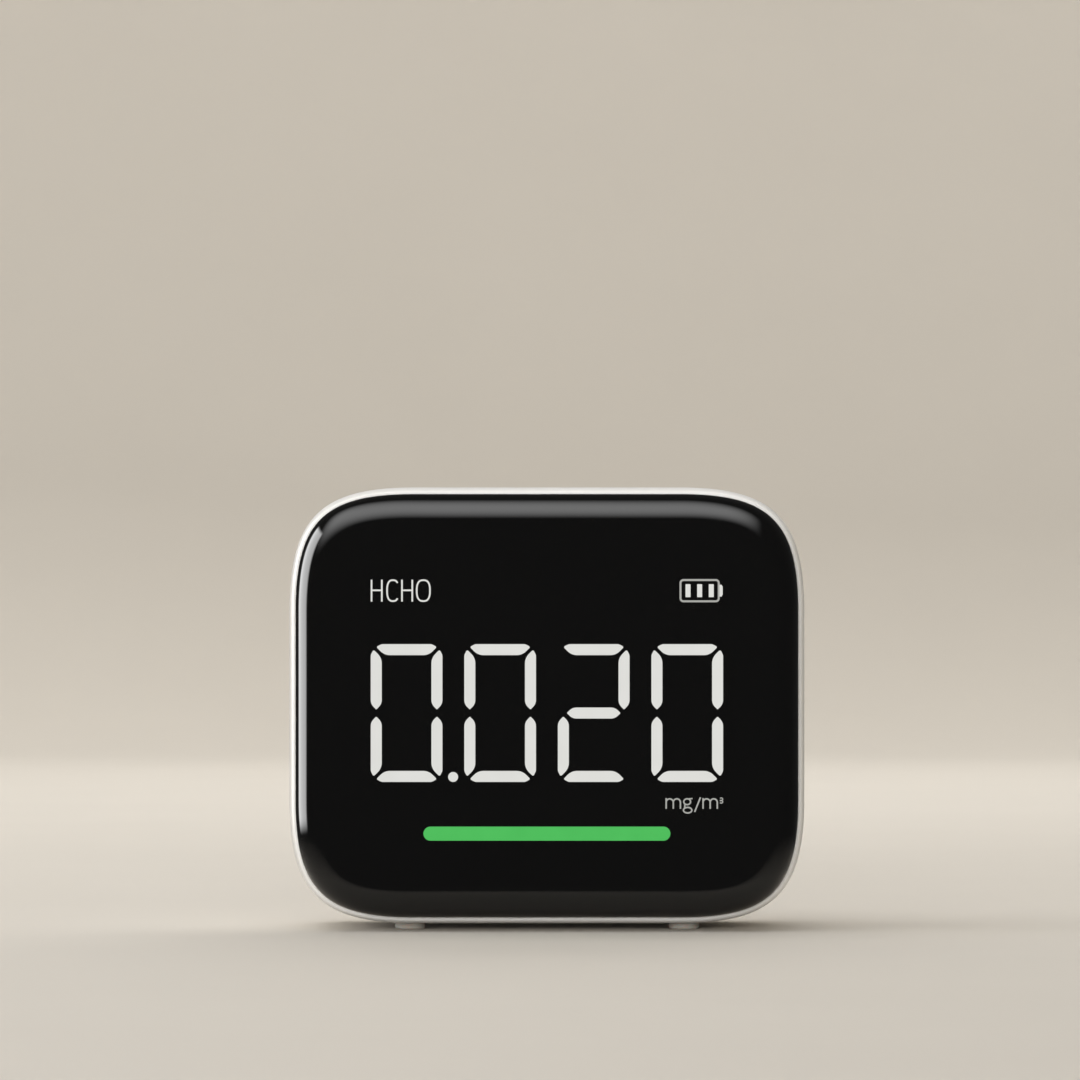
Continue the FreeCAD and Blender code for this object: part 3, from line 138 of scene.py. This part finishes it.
def piece(name, surfaces, material, body=HOUSING, stands_for=(), closed=True):
    """One object made of these surfaces, riding on a body and standing for these nodes, if any."""
    points, faces, start = [], [], 0
    for surface in surfaces:
        some, loops = outward(surface) if closed else surface
        points.append(some)
        faces += [[i + start for i in loop] for loop in loops]
        start += len(some)
    mesh = bpy.data.meshes.new(name)
    mesh.from_pydata(np.vstack(points).tolist(), [], faces)
    mesh.validate()
    mesh.shade_smooth()
    mesh.set_sharp_from_angle(angle=math.radians(SHARP_ANGLE))
    made = bpy.data.objects.new(name, mesh)
    bpy.context.scene.collection.objects.link(made)
    mesh.materials.append(material)
    if body:
        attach(made, body)
    if stands_for:
        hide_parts(*stands_for)
    return made


def outline(grow):
    """Points round the front's outline for each growth: Bezier corners, joined by straight sides."""
    grow = np.atleast_1d(grow)[:, None]
    t = np.linspace(0, 1, CORNER_POINTS)[None, :]
    run, pull = CORNER_RUN + grow, CORNER_PULL + PULL_GROWTH * grow
    before = run * (1 - t) ** 3 + 3 * pull * (1 - t) ** 2 * t
    after = 3 * pull * (1 - t) * t**2 + run * t**3
    half_w, half_h = HALF_W + grow, HALF_H + grow
    corners = [
        (half_w - after, half_h - before), (-half_w + before, half_h - after),
        (-half_w + after, -half_h + before), (half_w - before, -half_h + after),
    ]
    stretches = []
    for (x, z), (next_x, next_z) in zip(corners, corners[1:] + corners[:1]):
        s = np.linspace(0, 1, SIDE_POINTS)[None, 1:-1]
        side_x = x[:, -1:] * (1 - s) + next_x[:, :1] * s
        side_z = z[:, -1:] * (1 - s) + next_z[:, :1] * s
        stretches += [np.stack([x, z], -1), np.stack([side_x, side_z], -1)]
    return np.concatenate(stretches, axis=1)


def rings(profile):
    """The outline carried along a profile of (growth, y) pairs."""
    profile = np.array(profile)
    flat = outline(profile[:, 0])
    deep = np.broadcast_to(profile[:, 1:2], flat.shape[:2])
    return np.stack([flat[..., 0], deep, flat[..., 1] + MID_Z], axis=-1)


def arc(centre, radii, start, stop, steps):
    """Points on an arc or an ellipse's quarter, in degrees, as (across, along) pairs."""
    a = np.radians(np.linspace(start, stop, steps + 1))
    return np.stack([centre[0] + radii[0] * np.cos(a), centre[1] + radii[1] * np.sin(a)], axis=-1)


def rounded(corners, inset=0.0, steps=6):
    """A closed outline through corners (x, z, radius), each turned by an arc, moved inwards by the inset."""
    corners = np.array(corners, dtype=float)
    here, radius = corners[:, :2], np.maximum(corners[:, 2:] - inset, 1e-6)
    back = np.roll(here, 1, axis=0) - here
    ahead = np.roll(here, -1, axis=0) - here
    back /= np.linalg.norm(back, axis=1, keepdims=True)
    ahead /= np.linalg.norm(ahead, axis=1, keepdims=True)
    middle = back + ahead
    middle /= np.linalg.norm(middle, axis=1, keepdims=True)
    half = np.arccos(np.clip((back * middle).sum(axis=1, keepdims=True), -1, 1))
    centre = here + middle * (inset + radius) / np.sin(half)
    turn = np.pi / 2 - half
    side = np.sign(back[:, :1] * ahead[:, 1:] - back[:, 1:] * ahead[:, :1])
    facing = np.arctan2(-middle[:, 1:], -middle[:, :1])
    a = facing + side * turn * np.linspace(1, -1, steps + 1)[None, :]
    arcs = centre[:, None, :] + radius[:, None, :] * np.stack([np.cos(a), np.sin(a)], axis=-1)
    return arcs.reshape(-1, 2)


def upright(flat, y):
    """Puts a flat (x, z) outline at this depth."""
    return np.stack([flat[:, 0], np.full(len(flat), y), flat[:, 1]], axis=-1)


def window(corners, steps=6):
    """A lit window: a thin plate in the lens's face with its rim rounded over."""
    levels = (
        (0, BURIED), (0, -0.4 * PROUD), (0.3 * PROUD, -0.85 * PROUD), (PROUD, -PROUD), (5 * PROUD, -PROUD),
    )
    return grid(np.stack([upright(rounded(corners, inset, steps), FRONT + y) for inset, y in levels]))


def stroke(path, width, closed=False):
    """A pen stroke: a thin flat bar carried along a path of (x, z) points."""
    path = np.array(path, dtype=float)
    ahead = np.roll(path, -1, axis=0) - np.roll(path, 1, axis=0) if closed else np.gradient(path, axis=0)
    ahead /= np.linalg.norm(ahead, axis=1, keepdims=True)
    across = np.stack([-ahead[:, 1], ahead[:, 0]], axis=-1) * width / 2
    half = ((0.93, -PROUD), (1, -0.6 * PROUD), (1, BURIED))
    section = [(-side, y) for side, y in reversed(half)] + list(half)
    lines = np.stack([upright(path + across * side, FRONT + y) for side, y in section], axis=1)
    if closed:
        lines = np.concatenate([lines, lines[:1]])
    return grid(lines, cap_start=not closed, cap_end=not closed)


# ---------------------------------------------------------------- finishes

def colour(code):
    """An sRGB hex code as linear RGBA."""
    parts = [int(code[i:i + 2], 16) / 255 for i in (1, 3, 5)]
    return tuple(c / 12.92 if c <= 0.04045 else ((c + 0.055) / 1.055) ** 2.4 for c in parts) + (1.0,)


def add(tree, kind, inputs=None, **settings):
    """Adds one node with its settings, and gives its inputs values or other nodes' outputs."""
    made = tree.nodes.new(kind)
    for name, value in settings.items():
        setattr(made, name, value)
    for name, value in (inputs or {}).items():
        if isinstance(value, bpy.types.NodeSocket):
            tree.links.new(value, made.inputs[name])
        else:
            made.inputs[name].default_value = value
    return made


def finish(name, **values):
    """A named material with a Principled shader; returns it with its tree, shader and object coordinates."""
    material = bpy.data.materials.new(name)
    material.use_nodes = True
    tree = material.node_tree
    tree.nodes.clear()
    shader = add(tree, "ShaderNodeBsdfPrincipled", values)
    add(tree, "ShaderNodeOutputMaterial", {"Surface": shader.outputs["BSDF"]})
    place = add(tree, "ShaderNodeTexCoord").outputs["Object"]
    return material, tree, shader, place


def grain(tree, place, size_mm, detail=2.0, roughness=0.5):
    """Soft noise whose blotches are about this many millimetres across, from 0 to 1."""
    return add(tree, "ShaderNodeTexNoise", {
        "Vector": place, "Scale": 1 / (size_mm * MM), "Detail": detail, "Roughness": roughness,
    }).outputs["Fac"]


def vary(tree, shader, socket, factor, low, high):
    """Lets a factor move one of the shader's numbers between two values."""
    spread = add(tree, "ShaderNodeMapRange", {"Value": factor, "To Min": low, "To Max": high})
    tree.links.new(spread.outputs["Result"], shader.inputs[socket])


def blend_colours(tree, shader, factor, low, high, socket="Base Color"):
    """Lets a factor move one of the shader's colours between two hex codes."""
    ramp = add(tree, "ShaderNodeValToRGB", {"Fac": factor})
    ramp.color_ramp.elements[0].color = colour(low)
    ramp.color_ramp.elements[1].color = colour(high)
    tree.links.new(ramp.outputs["Color"], shader.inputs[socket])


def relief(tree, shader, height, depth_mm):
    """Raises the surface by a factor, up to this depth."""
    bump = add(tree, "ShaderNodeBump", {"Height": height, "Distance": depth_mm * MM, "Strength": 1.0})
    tree.links.new(bump.outputs["Normal"], shader.inputs["Normal"])


def smoked_acrylic():
    """Polished black acrylic: a mirror-like face with the faintest moulding waviness and handling haze."""
    material, tree, shader, place = finish("smoked_acrylic_polished", **{
        "Base Color": colour("#090909"), "IOR": 1.49,
    })
    vary(tree, shader, "Roughness", grain(tree, place, 22, 3.0), 0.025, 0.075)
    relief(tree, shader, grain(tree, place, 9, 0.0), 0.004)
    return material


def satin_abs():
    """White ABS moulded in a fine spark-eroded tool: soft sheen broken up by a very small even grain."""
    material, tree, shader, place = finish("abs_white_satin", **{"IOR": 1.53})
    blend_colours(tree, shader, grain(tree, place, 14, 2.0), "#eae9e6", "#f0efed")
    vary(tree, shader, "Roughness", grain(tree, place, 0.6, 3.0), 0.36, 0.48)
    relief(tree, shader, grain(tree, place, 0.22, 1.0), 0.006)
    return material


def silicone():
    """Cloudy white silicone: soft, slightly see-through at its edges, with a matt skin. Its colour is painted
    about a quarter darker than the silicone's own off-white, as painted shade for the shade that falls on the
    feet under the housing.
    """
    material, tree, shader, place = finish("silicone_cloudy_painted_shade", **{
        "IOR": 1.41, "Subsurface Weight": 0.25, "Subsurface Scale": 0.8 * MM, "Roughness": 0.55,
    })
    # painted shade: both shades are darker than the silicone's own off-white, for the shade on the feet under
    # the housing
    blend_colours(tree, shader, grain(tree, place, 1.2, 2.0), "#99948b", "#a59f96")
    relief(tree, shader, grain(tree, place, 0.15, 2.0), 0.01)
    return material


def lit_window(name, core, shade):
    """A milky window lit from behind, under the face's own polish: even, a little dimmer in places."""
    material, tree, shader, place = finish(name, **{
        "Base Color": colour("#101010"), "Roughness": 0.04, "IOR": 1.49, "Emission Strength": 1.0,
    })
    blend_colours(tree, shader, grain(tree, place, 3.5, 1.0), shade, core, "Emission Color")
    return material


def plain(name, low, high, size_mm, rough=(0.5, 0.65), depth_mm=0.01, **values):
    """A moulded, sintered or printed finish: two close shades in a grain of this size, with a low relief."""
    material, tree, shader, place = finish(name, **values)
    factor = grain(tree, place, size_mm, 3.0)
    blend_colours(tree, shader, factor, low, high)
    vary(tree, shader, "Roughness", factor, *rough)
    relief(tree, shader, factor, depth_mm)
    return material


def metal(name, low, high, size_mm, rough, depth_mm=0.003):
    """A bare or plated metal, with fine tool marks."""
    return plain(name, low, high, size_mm, rough, depth_mm, Metallic=1.0)


LENS_FINISH = smoked_acrylic()
ABS_FINISH = satin_abs()
SILICONE_FINISH = silicone()
WHITE_WINDOW = lit_window("window_lit_white", "#e0e0dc", "#dadad5")
LABEL_WINDOW = lit_window("window_lit_grey", "#afafaa", "#a4a49f")
GREEN_WINDOW = lit_window("window_lit_green", "#50c05e", "#4ab858")

# most finishes: name, two shades, the grain's size in mm, roughness from and to, relief in mm
SLOT_FINISHES = {
    "white_housing": ABS_FINISH,
    "smoked_lens": LENS_FINISH,
    "foot_silicone": SILICONE_FINISH,
    "black_ink": plain("ink_screen_printed", "#050505", "#0a0a0a", 0.3, (0.6, 0.7), 0.003),
    "black_tape": plain("tape_acrylic_foam", "#0a0a0a", "#121212", 0.4, (0.7, 0.8), 0.03),
    "frame_black": plain("abs_black_matt", "#101011", "#171718", 0.4, (0.5, 0.6), 0.01),
    "light_block_white": plain("polycarbonate_white", "#dededb", "#e8e8e5", 0.6, (0.5, 0.6), 0.01),
    "lit_diffuser": plain("diffuser_milky", "#e4e3df", "#efeeea", 0.5, (0.45, 0.55), 0.005),
    # painted shade: the unlit segments' diffusers are coloured near black, for how dark they look unlit
    # behind the smoked lens, where the lit ones are milky white
    "unlit_diffuser": plain("diffuser_unlit_painted_dark", "#1a1a1a", "#222222", 0.5, (0.45, 0.55), 0.005),
    "label_diffuser": plain("diffuser_grey", "#c8c7c2", "#d4d3ce", 0.5, (0.45, 0.55), 0.005),
    "green_diffuser": plain("diffuser_green", "#3fae52", "#4cbb5e", 0.5, (0.45, 0.55), 0.005),
    "board_green": plain("board_solder_mask", "#0e3b22", "#145230", 1.3, (0.25, 0.4), 0.03),
    "chip_black": plain("epoxy_moulded", "#141414", "#1d1d1d", 0.2, (0.5, 0.65), 0.01),
    "lamp_white": plain("phosphor_silicone", "#e8dc9a", "#f2e8ae", 0.3, (0.3, 0.4), 0.01),
    "connector_cream": plain("nylon_natural", "#ddd3bb", "#e8dfc9", 0.8, (0.45, 0.55), 0.01),
    "ribbon_white": plain("polyester_laminated", "#d8d8d4", "#e2e2de", 1.0, (0.2, 0.3), 0.01),
    "chassis_grey": plain("abs_grey_matt", "#3c3c3e", "#454547", 0.5, (0.5, 0.6), 0.01),
    "screw_steel": metal("steel_nickel_plated", "#b5b3ae", "#c6c4bf", 0.2, (0.22, 0.34)),
    "socket_steel": metal("steel_tin_plated", "#c0c0c0", "#cfcfcf", 0.3, (0.25, 0.38)),
    "contact_gold": metal("copper_gold_flashed", "#e0b458", "#eac26c", 0.1, (0.2, 0.3)),
    "crystal_steel": metal("steel_can_drawn", "#c4c4c4", "#d2d2d2", 0.3, (0.2, 0.3)),
    "ferrite_grey": plain("ferrite_sintered", "#3a3a3a", "#454545", 0.15, (0.5, 0.7), 0.02),
    "capacitor_tan": plain("ceramic_titanate", "#8a6c4c", "#9a7b58", 0.1, (0.4, 0.5), 0.01),
    "switch_cream": plain("nylon_moulded", "#d8d2c4", "#e2dccf", 0.3, (0.45, 0.55), 0.005),
    "cell_foil": metal("aluminium_pouch_foil", "#b8babd", "#c8cacd", 2.5, (0.25, 0.45), 0.15),
    "foam_tape": plain("foam_polyethylene", "#d6d6d4", "#e2e2e0", 0.5, (0.75, 0.85), 0.05),
    "wire_red": plain("pvc_red", "#a01812", "#b0221a", 0.8, (0.35, 0.45), 0.01),
    "wire_black": plain("pvc_black", "#141414", "#1c1c1c", 0.8, (0.35, 0.45), 0.01),
    "sensor_white": plain("polypropylene_moulded", "#dcdcd8", "#e6e6e2", 0.6, (0.4, 0.5), 0.01),
    "membrane_white": plain("ptfe_expanded", "#e8e8e6", "#f2f2f0", 0.12, (0.7, 0.85), 0.02),
    "gasket_foam": plain("foam_closed_cell", "#161616", "#202020", 0.4, (0.75, 0.85), 0.05),
    "mesh_black": plain("nylon_woven", "#17171a", "#222226", 0.3, (0.5, 0.6), 0.02),
}


def dress_cad_nodes():
    """Every node of the CAD model gets the finish of its slot."""
    for part in frame["record"]["subparts"]:
        for place in frame["nodes"][part["node"]].material_slots:
            place.material = SLOT_FINISHES[part["material_slot"]]


# ---------------------------------------------------------------- housing, lens, feet

def make_lens():
    """The front: flat face, quarter-round edge, short side and the inside of its wall, as one closed skin."""
    edge, wall, rim = LENS_EDGE, LENS_WALL, LENS_RIM_R
    outer = arc((-edge, FRONT + edge), (edge, edge), -90, 0, EDGE_STEPS)
    inner = arc((-edge, FRONT + edge), (edge - wall, edge - wall), 0, -90, INNER_STEPS)
    profile = [(-edge - further, FRONT) for further in FACE_RINGS] + outer.tolist()
    profile += arc((-rim, LENS_REAR - rim), (rim, rim), 0, 90, RIM_STEPS).tolist()
    profile += arc((rim - wall, LENS_REAR - rim), (rim, rim), 90, 180, RIM_STEPS).tolist()
    profile += inner.tolist() + [(-edge - BACK_RING, FRONT + wall)]
    piece("front_lens_polished", [grid(rings(profile))], LENS_FINISH,
          stands_for=["front_lens"])


def make_housing():
    """The housing: a lip swells in a quarter-ellipse to the full size, then runs straight to the joint."""
    lip, join, rim = shell_low[1], shell_high[1], SHELL_RIM_R
    inner = SHELL_GROW - SHELL_WALL
    flare = arc((LIP_GROW, lip + FLARE), (SHELL_GROW - LIP_GROW, FLARE), -90, 0, FLARE_STEPS)
    profile = [(inner, lip), (LIP_GROW - LIP_RING, lip)] + flare.tolist()
    profile += arc((SHELL_GROW - rim, join - rim), (rim, rim), 0, 90, RIM_STEPS).tolist()
    profile += [(inner, join)]
    skin = rings(profile)
    skin = grid(np.concatenate([skin, skin[:1]]), cap_start=False, cap_end=False)
    piece("housing_white", [skin], ABS_FINISH, stands_for=["main_shell"])


def lathe(profile, x, y, steps=72, **caps):
    """A profile of (radius, z) pairs turned about an upright line; a radius may differ from step to step."""
    a = np.linspace(0, 2 * np.pi, steps, endpoint=False)
    r = np.stack([np.broadcast_to(radius, steps) for radius, _ in profile])
    z = np.stack([np.full(steps, height) for _, height in profile])
    return grid(np.stack([x + r * np.cos(a), y + r * np.sin(a), z], axis=-1), **caps)


def make_feet():
    """Four round pads: a rounded lower edge and a shallow hollow in the sole."""
    for end in ("front", "rear"):
        for side in ("left", "right"):
            node = f"foot_{end}_{side}"
            low, high = (np.array(corner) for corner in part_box(node))
            x, y = (low + high)[:2] / 2
            radius, top, edge = (high[0] - low[0]) / 2, high[2], FOOT_EDGE_R
            profile = [(SOLE_MIDDLE_R, HOLLOW_DEPTH), (HOLLOW_R, HOLLOW_DEPTH)]
            profile += [(RING_TURN_R, RING_TURN_Z), (RING_R, 0.0)]
            profile += arc((radius - edge, edge), (edge, edge), -90, 0, FOOT_STEPS).tolist()
            profile += [(radius, top - FOOT_BEVEL), (radius - FOOT_BEVEL, top), (FOOT_TOP_R, top)]
            piece(f"{node}_pad", [lathe(profile, x, y)], SILICONE_FINISH, stands_for=[node])


# ---------------------------------------------------------------- the lit display

def segment(letter):
    """One of a digit's seven segments about the digit's middle, as corners (x, z, radius)."""
    w, h, t, gap = DIGIT_W / 2, DIGIT_H / 2, BAR_T, MITRE_GAP
    tip, run = gap + TIP_CUT, gap + TIP_CUT + TIP_RUN
    if letter in "ad":
        up = 1 if letter == "a" else -1
        return [(-w + run, up * h, CUT_R), (w - run, up * h, CUT_R), (w - tip, up * (h - TIP_CUT), TIP_R),
                (w - gap - t, up * (h - t), MITRE_R), (-w + gap + t, up * (h - t), MITRE_R),
                (-w + tip, up * (h - TIP_CUT), TIP_R)]
    if letter == "g":
        end = w - t / 2 - TIP_GAP
        return [(-end, 0, POINT_R), (-end + t / 2, t / 2, SHOULDER_R), (end - t / 2, t / 2, SHOULDER_R),
                (end, 0, POINT_R), (end - t / 2, -t / 2, SHOULDER_R), (-end + t / 2, -t / 2, SHOULDER_R)]
    side = 1 if letter in "bc" else -1
    up = 1 if letter in "bf" else -1
    shoulder = TIP_GAP + t / 2
    return [(side * (w - TIP_CUT), up * (h - tip), TIP_R), (side * w, up * (h - run), CUT_R),
            (side * w, up * shoulder, SHOULDER_R), (side * (w - t / 2), up * TIP_GAP, POINT_R),
            (side * (w - t), up * shoulder, SHOULDER_R), (side * (w - t), up * (h - gap - t), MITRE_R)]


def moved(corners, x, z):
    """The same corners, (x, z) further on."""
    return [(u + x, v + z, r) for u, v, r in corners]


def pill(x, z, width, height):
    """Corners of a bar with fully round ends."""
    w, h = width / 2, height / 2
    return [(x + i * w, z + k * h, h * ROUND_END) for i, k in SQUARE]


def oval(x, z, rx, rz, start=0, stop=360, squareness=2.6, steps=48):
    """Points round a slightly square oval, in degrees from its right-hand side.

    They are an ellipse's cosine and sine, each raised to the power 2 / squareness with its sign kept.
    """
    a = np.radians(np.linspace(start, stop, steps, endpoint=stop - start < 360))
    turn = np.stack([np.cos(a), np.sin(a)], axis=-1)
    return np.array((x, z)) + np.array((rx, rz)) * np.sign(turn) * np.abs(turn) ** (2 / squareness)


def digit_x(place):
    """Across to the middle of this digit, counted from the left."""
    return (place - (len(READING) - 1) / 2) * DIGIT_PITCH


def make_reading():
    """The four digits, the decimal point and the level bar."""
    digits = [
        window(moved(segment(letter), digit_x(place), MID_Z + DIGIT_Z))
        for place, lit in enumerate(READING) for letter in lit
    ]
    piece("reading_digits", digits, WHITE_WINDOW)
    x = digit_x(POINT_AFTER) - DIGIT_W / 2 + POINT_AT
    z = MID_Z + DIGIT_Z - DIGIT_H / 2 + POINT_D / 2
    piece("reading_point", [window(pill(x, z, POINT_D, POINT_D), 12)], WHITE_WINDOW)
    level = window(pill(0, MID_Z + LEVEL_Z, LEVEL_W, LEVEL_H), 16)
    piece("level_bar", [level], GREEN_WINDOW)


def capital_h(x, z, width, height, pen):
    """Two stems and a crossbar."""
    stems = [[(s, z), (s, z + height)] for s in (x + pen / 2, x + width - pen / 2)]
    middle = z + height * CROSSBAR_AT
    cross = [(x + pen, middle), (x + width - pen, middle)]
    return [stroke(path, pen) for path in stems + [cross]]


def letter_m(x, z, width, height, pen):
    """A stem and two arches."""
    r = (width - pen) / 4
    strokes = [stroke([(x + pen / 2, z), (x + pen / 2, z + height)], pen)]
    for left in (x + pen / 2, x + pen / 2 + 2 * r):
        top = arc((left + r, z + height - pen / 2 - r), (r, r), ARCH_START, 0, ARCH_STEPS)
        strokes.append(stroke(np.vstack([top, [(left + 2 * r, z)]]), pen))
    return strokes


def letter_g(x, z, width, height, pen):
    """A bowl over a flatter loop, joined by a link, with an ear. The shares are of its width and x-height."""
    def place(u, v):
        return x + width * u, z + height * v

    bowl = oval(*place(0.45, 0.66), width * 0.42 - pen / 2, height * 0.34 - pen / 2, squareness=2)
    loop = oval(*place(0.5, -0.13), width * 0.5 - pen / 2, height * 0.26, squareness=2)
    link, ear = [place(0.22, 0.4), place(0.2, 0.1)], [place(0.62, 0.93), place(1.0, 0.96)]
    return [stroke(bowl, pen, True), stroke(loop, pen, True), stroke(link, pen), stroke(ear, pen * 0.9)]


def make_substance_label():
    """The formula of formaldehyde, in narrow capitals over the first digit."""
    x, z, pen, h = digit_x(0) - DIGIT_W / 2, MID_Z + LABEL_TOP - LABEL_H, LABEL_STROKE, LABEL_H
    strokes = [path for start in H_STARTS for path in capital_h(x + start, z, H_WIDTH, h, pen)]
    mid, high = z + h / 2, h / 2 + PAST_LINE - pen / 2
    strokes.append(stroke(oval(x + C_MIDDLE, mid, C_HALF - pen / 2, high, C_OPEN, 360 - C_OPEN), pen))
    strokes.append(stroke(oval(x + O_MIDDLE, mid, O_HALF - pen / 2, high), pen, True))
    piece("substance_label", strokes, WHITE_WINDOW)


def make_unit_label():
    """Milligrams per cubic metre, under the last digit."""
    x, z, pen, h = UNIT_X, MID_Z + UNIT_BASE, UNIT_STROKE, UNIT_H
    strokes = [path for start in M_STARTS for path in letter_m(x + start, z, M_WIDTH, h, pen)]
    strokes += letter_g(x + G_START, z, G_WIDTH, h, pen)
    strokes.append(stroke([(x + u, z + v) for u, v in SLASH], pen))
    for v in THREE_BOWS:
        bow = oval(x + THREE_X, z + v, *THREE_RADII, -THREE_TURN, THREE_TURN, squareness=2, steps=16)
        strokes.append(stroke(bow, THREE_STROKE))
    piece("unit_label", strokes, LABEL_WINDOW)


def make_battery_symbol():
    """A battery's outline, with its nub and three charge bars."""
    x, z = ICON_X + ICON_W / 2, MID_Z + ICON_TOP - ICON_H / 2
    w, h = (ICON_W - ICON_LINE) / 2, (ICON_H - ICON_LINE) / 2
    outside = rounded([(x + i * w, z + k * h, ICON_CORNER_R) for i, k in SQUARE])
    piece("battery_outline", [stroke(outside, ICON_LINE, True)], LABEL_WINDOW)
    lower = [(NUB_FOOT, -NUB_HALF, NUB_FOOT_R), (NUB_BEND, -NUB_HALF, NUB_R)]
    lower.append((NUB_REACH, -NUB_TIP_HALF, NUB_R))
    upper = [(u, -v, r) for u, v, r in reversed(lower)]
    charge = [window(moved(lower + upper, x + ICON_W / 2, z))]
    for step in (-1, 0, 1):
        bar = [(i * CHARGE_W / 2, k * CHARGE_H / 2, CHARGE_R) for i, k in SQUARE]
        charge.append(window(moved(bar, x + step * CHARGE_PITCH, z)))
    piece("battery_charge", charge, WHITE_WINDOW)


# ---------------------------------------------------------------- studio

FLOOR_NEAR, FLOOR_FADE, FLOOR_TEETH = 0.05, 0.13, 720     # the near floor's toothed edge
FLOOR_FLAT, FLOOR_TURN, FLOOR_WALL, FLOOR_FORWARD = 1.35, 0.5, 3.0, 0.4
TURN_STEPS, MIDDLE_R, PAST_TEETH = 24, 0.001, 1.1


def make_floor():
    """A pale paper bowl: level under the object, turning up far away all round it.

    Only the part near the object shows in glossy surfaces, so the polished front stays dark. Its edge is cut
    into fine teeth, so that its reflection fades out.
    """
    material, tree, shader, place = finish("paper_matt", Roughness=0.9)
    blend_colours(tree, shader, grain(tree, place, 60, 2.0), "#d0cac0", "#d3cdc3")
    teeth = np.where(np.arange(2 * FLOOR_TEETH) % 2, FLOOR_NEAR, FLOOR_FADE)
    near = [(MIDDLE_R, 0), (teeth, 0)]
    far = [(teeth, 0), (PAST_TEETH * FLOOR_FADE, 0)]
    far += arc((FLOOR_FLAT, FLOOR_TURN), (FLOOR_TURN, FLOOR_TURN), -90, 0, TURN_STEPS).tolist()
    far.append((FLOOR_FLAT + FLOOR_TURN, FLOOR_WALL))
    for name, profile, filled in (("floor_near", near, True), ("floor_far", far, False)):
        points, faces = lathe(profile, 0, 0, 2 * FLOOR_TEETH, cap_start=filled, cap_end=False)
        beyond = np.linalg.norm(points[:, :2], axis=1) > 2 * FLOOR_FADE
        points = points - beyond[:, None] * np.array((0, FLOOR_FORWARD, 0))
        floor = piece(name, [(points, faces)], material, body=None, closed=False)
        floor.visible_glossy = filled


def soft_light(name, turn, rise, away, size, power, fade=(0.01, 0.01), aim=None, diffuse=True, glossy=True):
    """A soft box: its turn to the right of the front and its rise, in degrees, and how far away it is.

    It faces the object unless it has another aim, and fades out towards its edges over a share of its
    width and of its height. Some boxes only light, and some only show in glossy surfaces, as with
    polarised studio lamps.
    """
    data = bpy.data.lights.new(name, "AREA")
    data.shape, data.size, data.size_y, data.energy = "RECTANGLE", size[0], size[1], power
    data.use_nodes = True
    tree = data.node_tree
    place = add(tree, "ShaderNodeNewGeometry").outputs["Parametric"]
    across = add(tree, "ShaderNodeSeparateXYZ", {"Vector": place})
    shares = []
    for axis, reach in zip("XY", fade):
        moved_in = add(tree, "ShaderNodeMath", {0: across.outputs[axis], 1: 0.5}, operation="SUBTRACT")
        off_centre = add(tree, "ShaderNodeMath", {0: moved_in.outputs[0]}, operation="ABSOLUTE")
        edges = {"Value": off_centre.outputs[0], "From Min": 0.5, "From Max": 0.5 - reach}
        shares.append(add(tree, "ShaderNodeMapRange", edges, interpolation_type="SMOOTHSTEP").outputs[0])
    strength = add(tree, "ShaderNodeMath", {0: shares[0], 1: shares[1]}, operation="MULTIPLY")
    tree.links.new(strength.outputs[0], tree.nodes["Emission"].inputs["Strength"])
    lamp = bpy.data.objects.new(name, data)
    bpy.context.scene.collection.objects.link(lamp)
    turn, rise = math.radians(turn), math.radians(rise)
    level = away * math.cos(rise)
    at = (level * math.sin(turn), -level * math.cos(turn), MID_Z + away * math.sin(rise))
    x, y, z = np.array(aim or (0, 0, MID_Z)) - np.array(at)
    lamp.location = at
    lamp.rotation_euler = (math.atan2(math.hypot(x, y), -z), 0, math.atan2(-x, y))
    lamp.visible_camera, lamp.visible_diffuse, lamp.visible_glossy = False, diffuse, glossy


def make_lights():
    """Panels that show in the polished front, and softer boxes that light the housing and the floor."""
    soft_light("front_panel", -20, 58, 0.75, (1.7, 1.5), 29, (0.35, 0.48), diffuse=False)
    soft_light("left_panel", -95, 14, 0.75, (0.80, 0.66), 15, (0.2, 0.1), diffuse=False)
    soft_light("overhead", -60, 68, 1.4, (1.3, 1.3), 8.6, glossy=False)
    soft_light("left_fill", -80, 20, 1.4, (0.9, 0.9), 1.1, glossy=False)
    soft_light("front_fill", -8, 6, 1.5, (1.0, 0.5), 17, glossy=False)
    soft_light("wall_wash", 180, 70, 1.2, (1.6, 0.4), 6, aim=(0, 1.5, 0.25), glossy=False)
    soft_light("behind", 175, 35, 1.0, (1.0, 0.7), 3.5, glossy=False)
    world = bpy.data.worlds.new("studio_air")
    world.use_nodes = True
    air = world.node_tree.nodes["Background"].inputs
    air["Color"].default_value, air["Strength"].default_value = colour("#f4f2f0"), 0.07
    bpy.context.scene.world = world


CAMERA_AWAY, VIEW_WIDTH = 1.2, 0.1631     # from the front's edge, and how much the frame takes in there
CAMERA_X, CAMERA_RISE = -1.04 * MM, 25.03 * MM


def make_camera():
    """Level, a little above the object's middle, with a long lens."""
    data = bpy.data.cameras.new("camera")
    data.lens = CAMERA_AWAY / VIEW_WIDTH * data.sensor_width
    data.clip_end = 20
    camera = bpy.data.objects.new("camera", data)
    bpy.context.scene.collection.objects.link(camera)
    camera.location = (CAMERA_X, FRONT + LENS_EDGE - CAMERA_AWAY, MID_Z + CAMERA_RISE)
    camera.rotation_euler = (math.pi / 2, 0, 0)
    bpy.context.scene.camera = camera


dress_cad_nodes()
make_lens()
make_housing()
make_feet()
make_reading()
make_substance_label()
make_unit_label()
make_battery_symbol()
make_floor()
make_lights()
make_camera()
bpy.context.scene.view_settings.view_transform = "Standard"
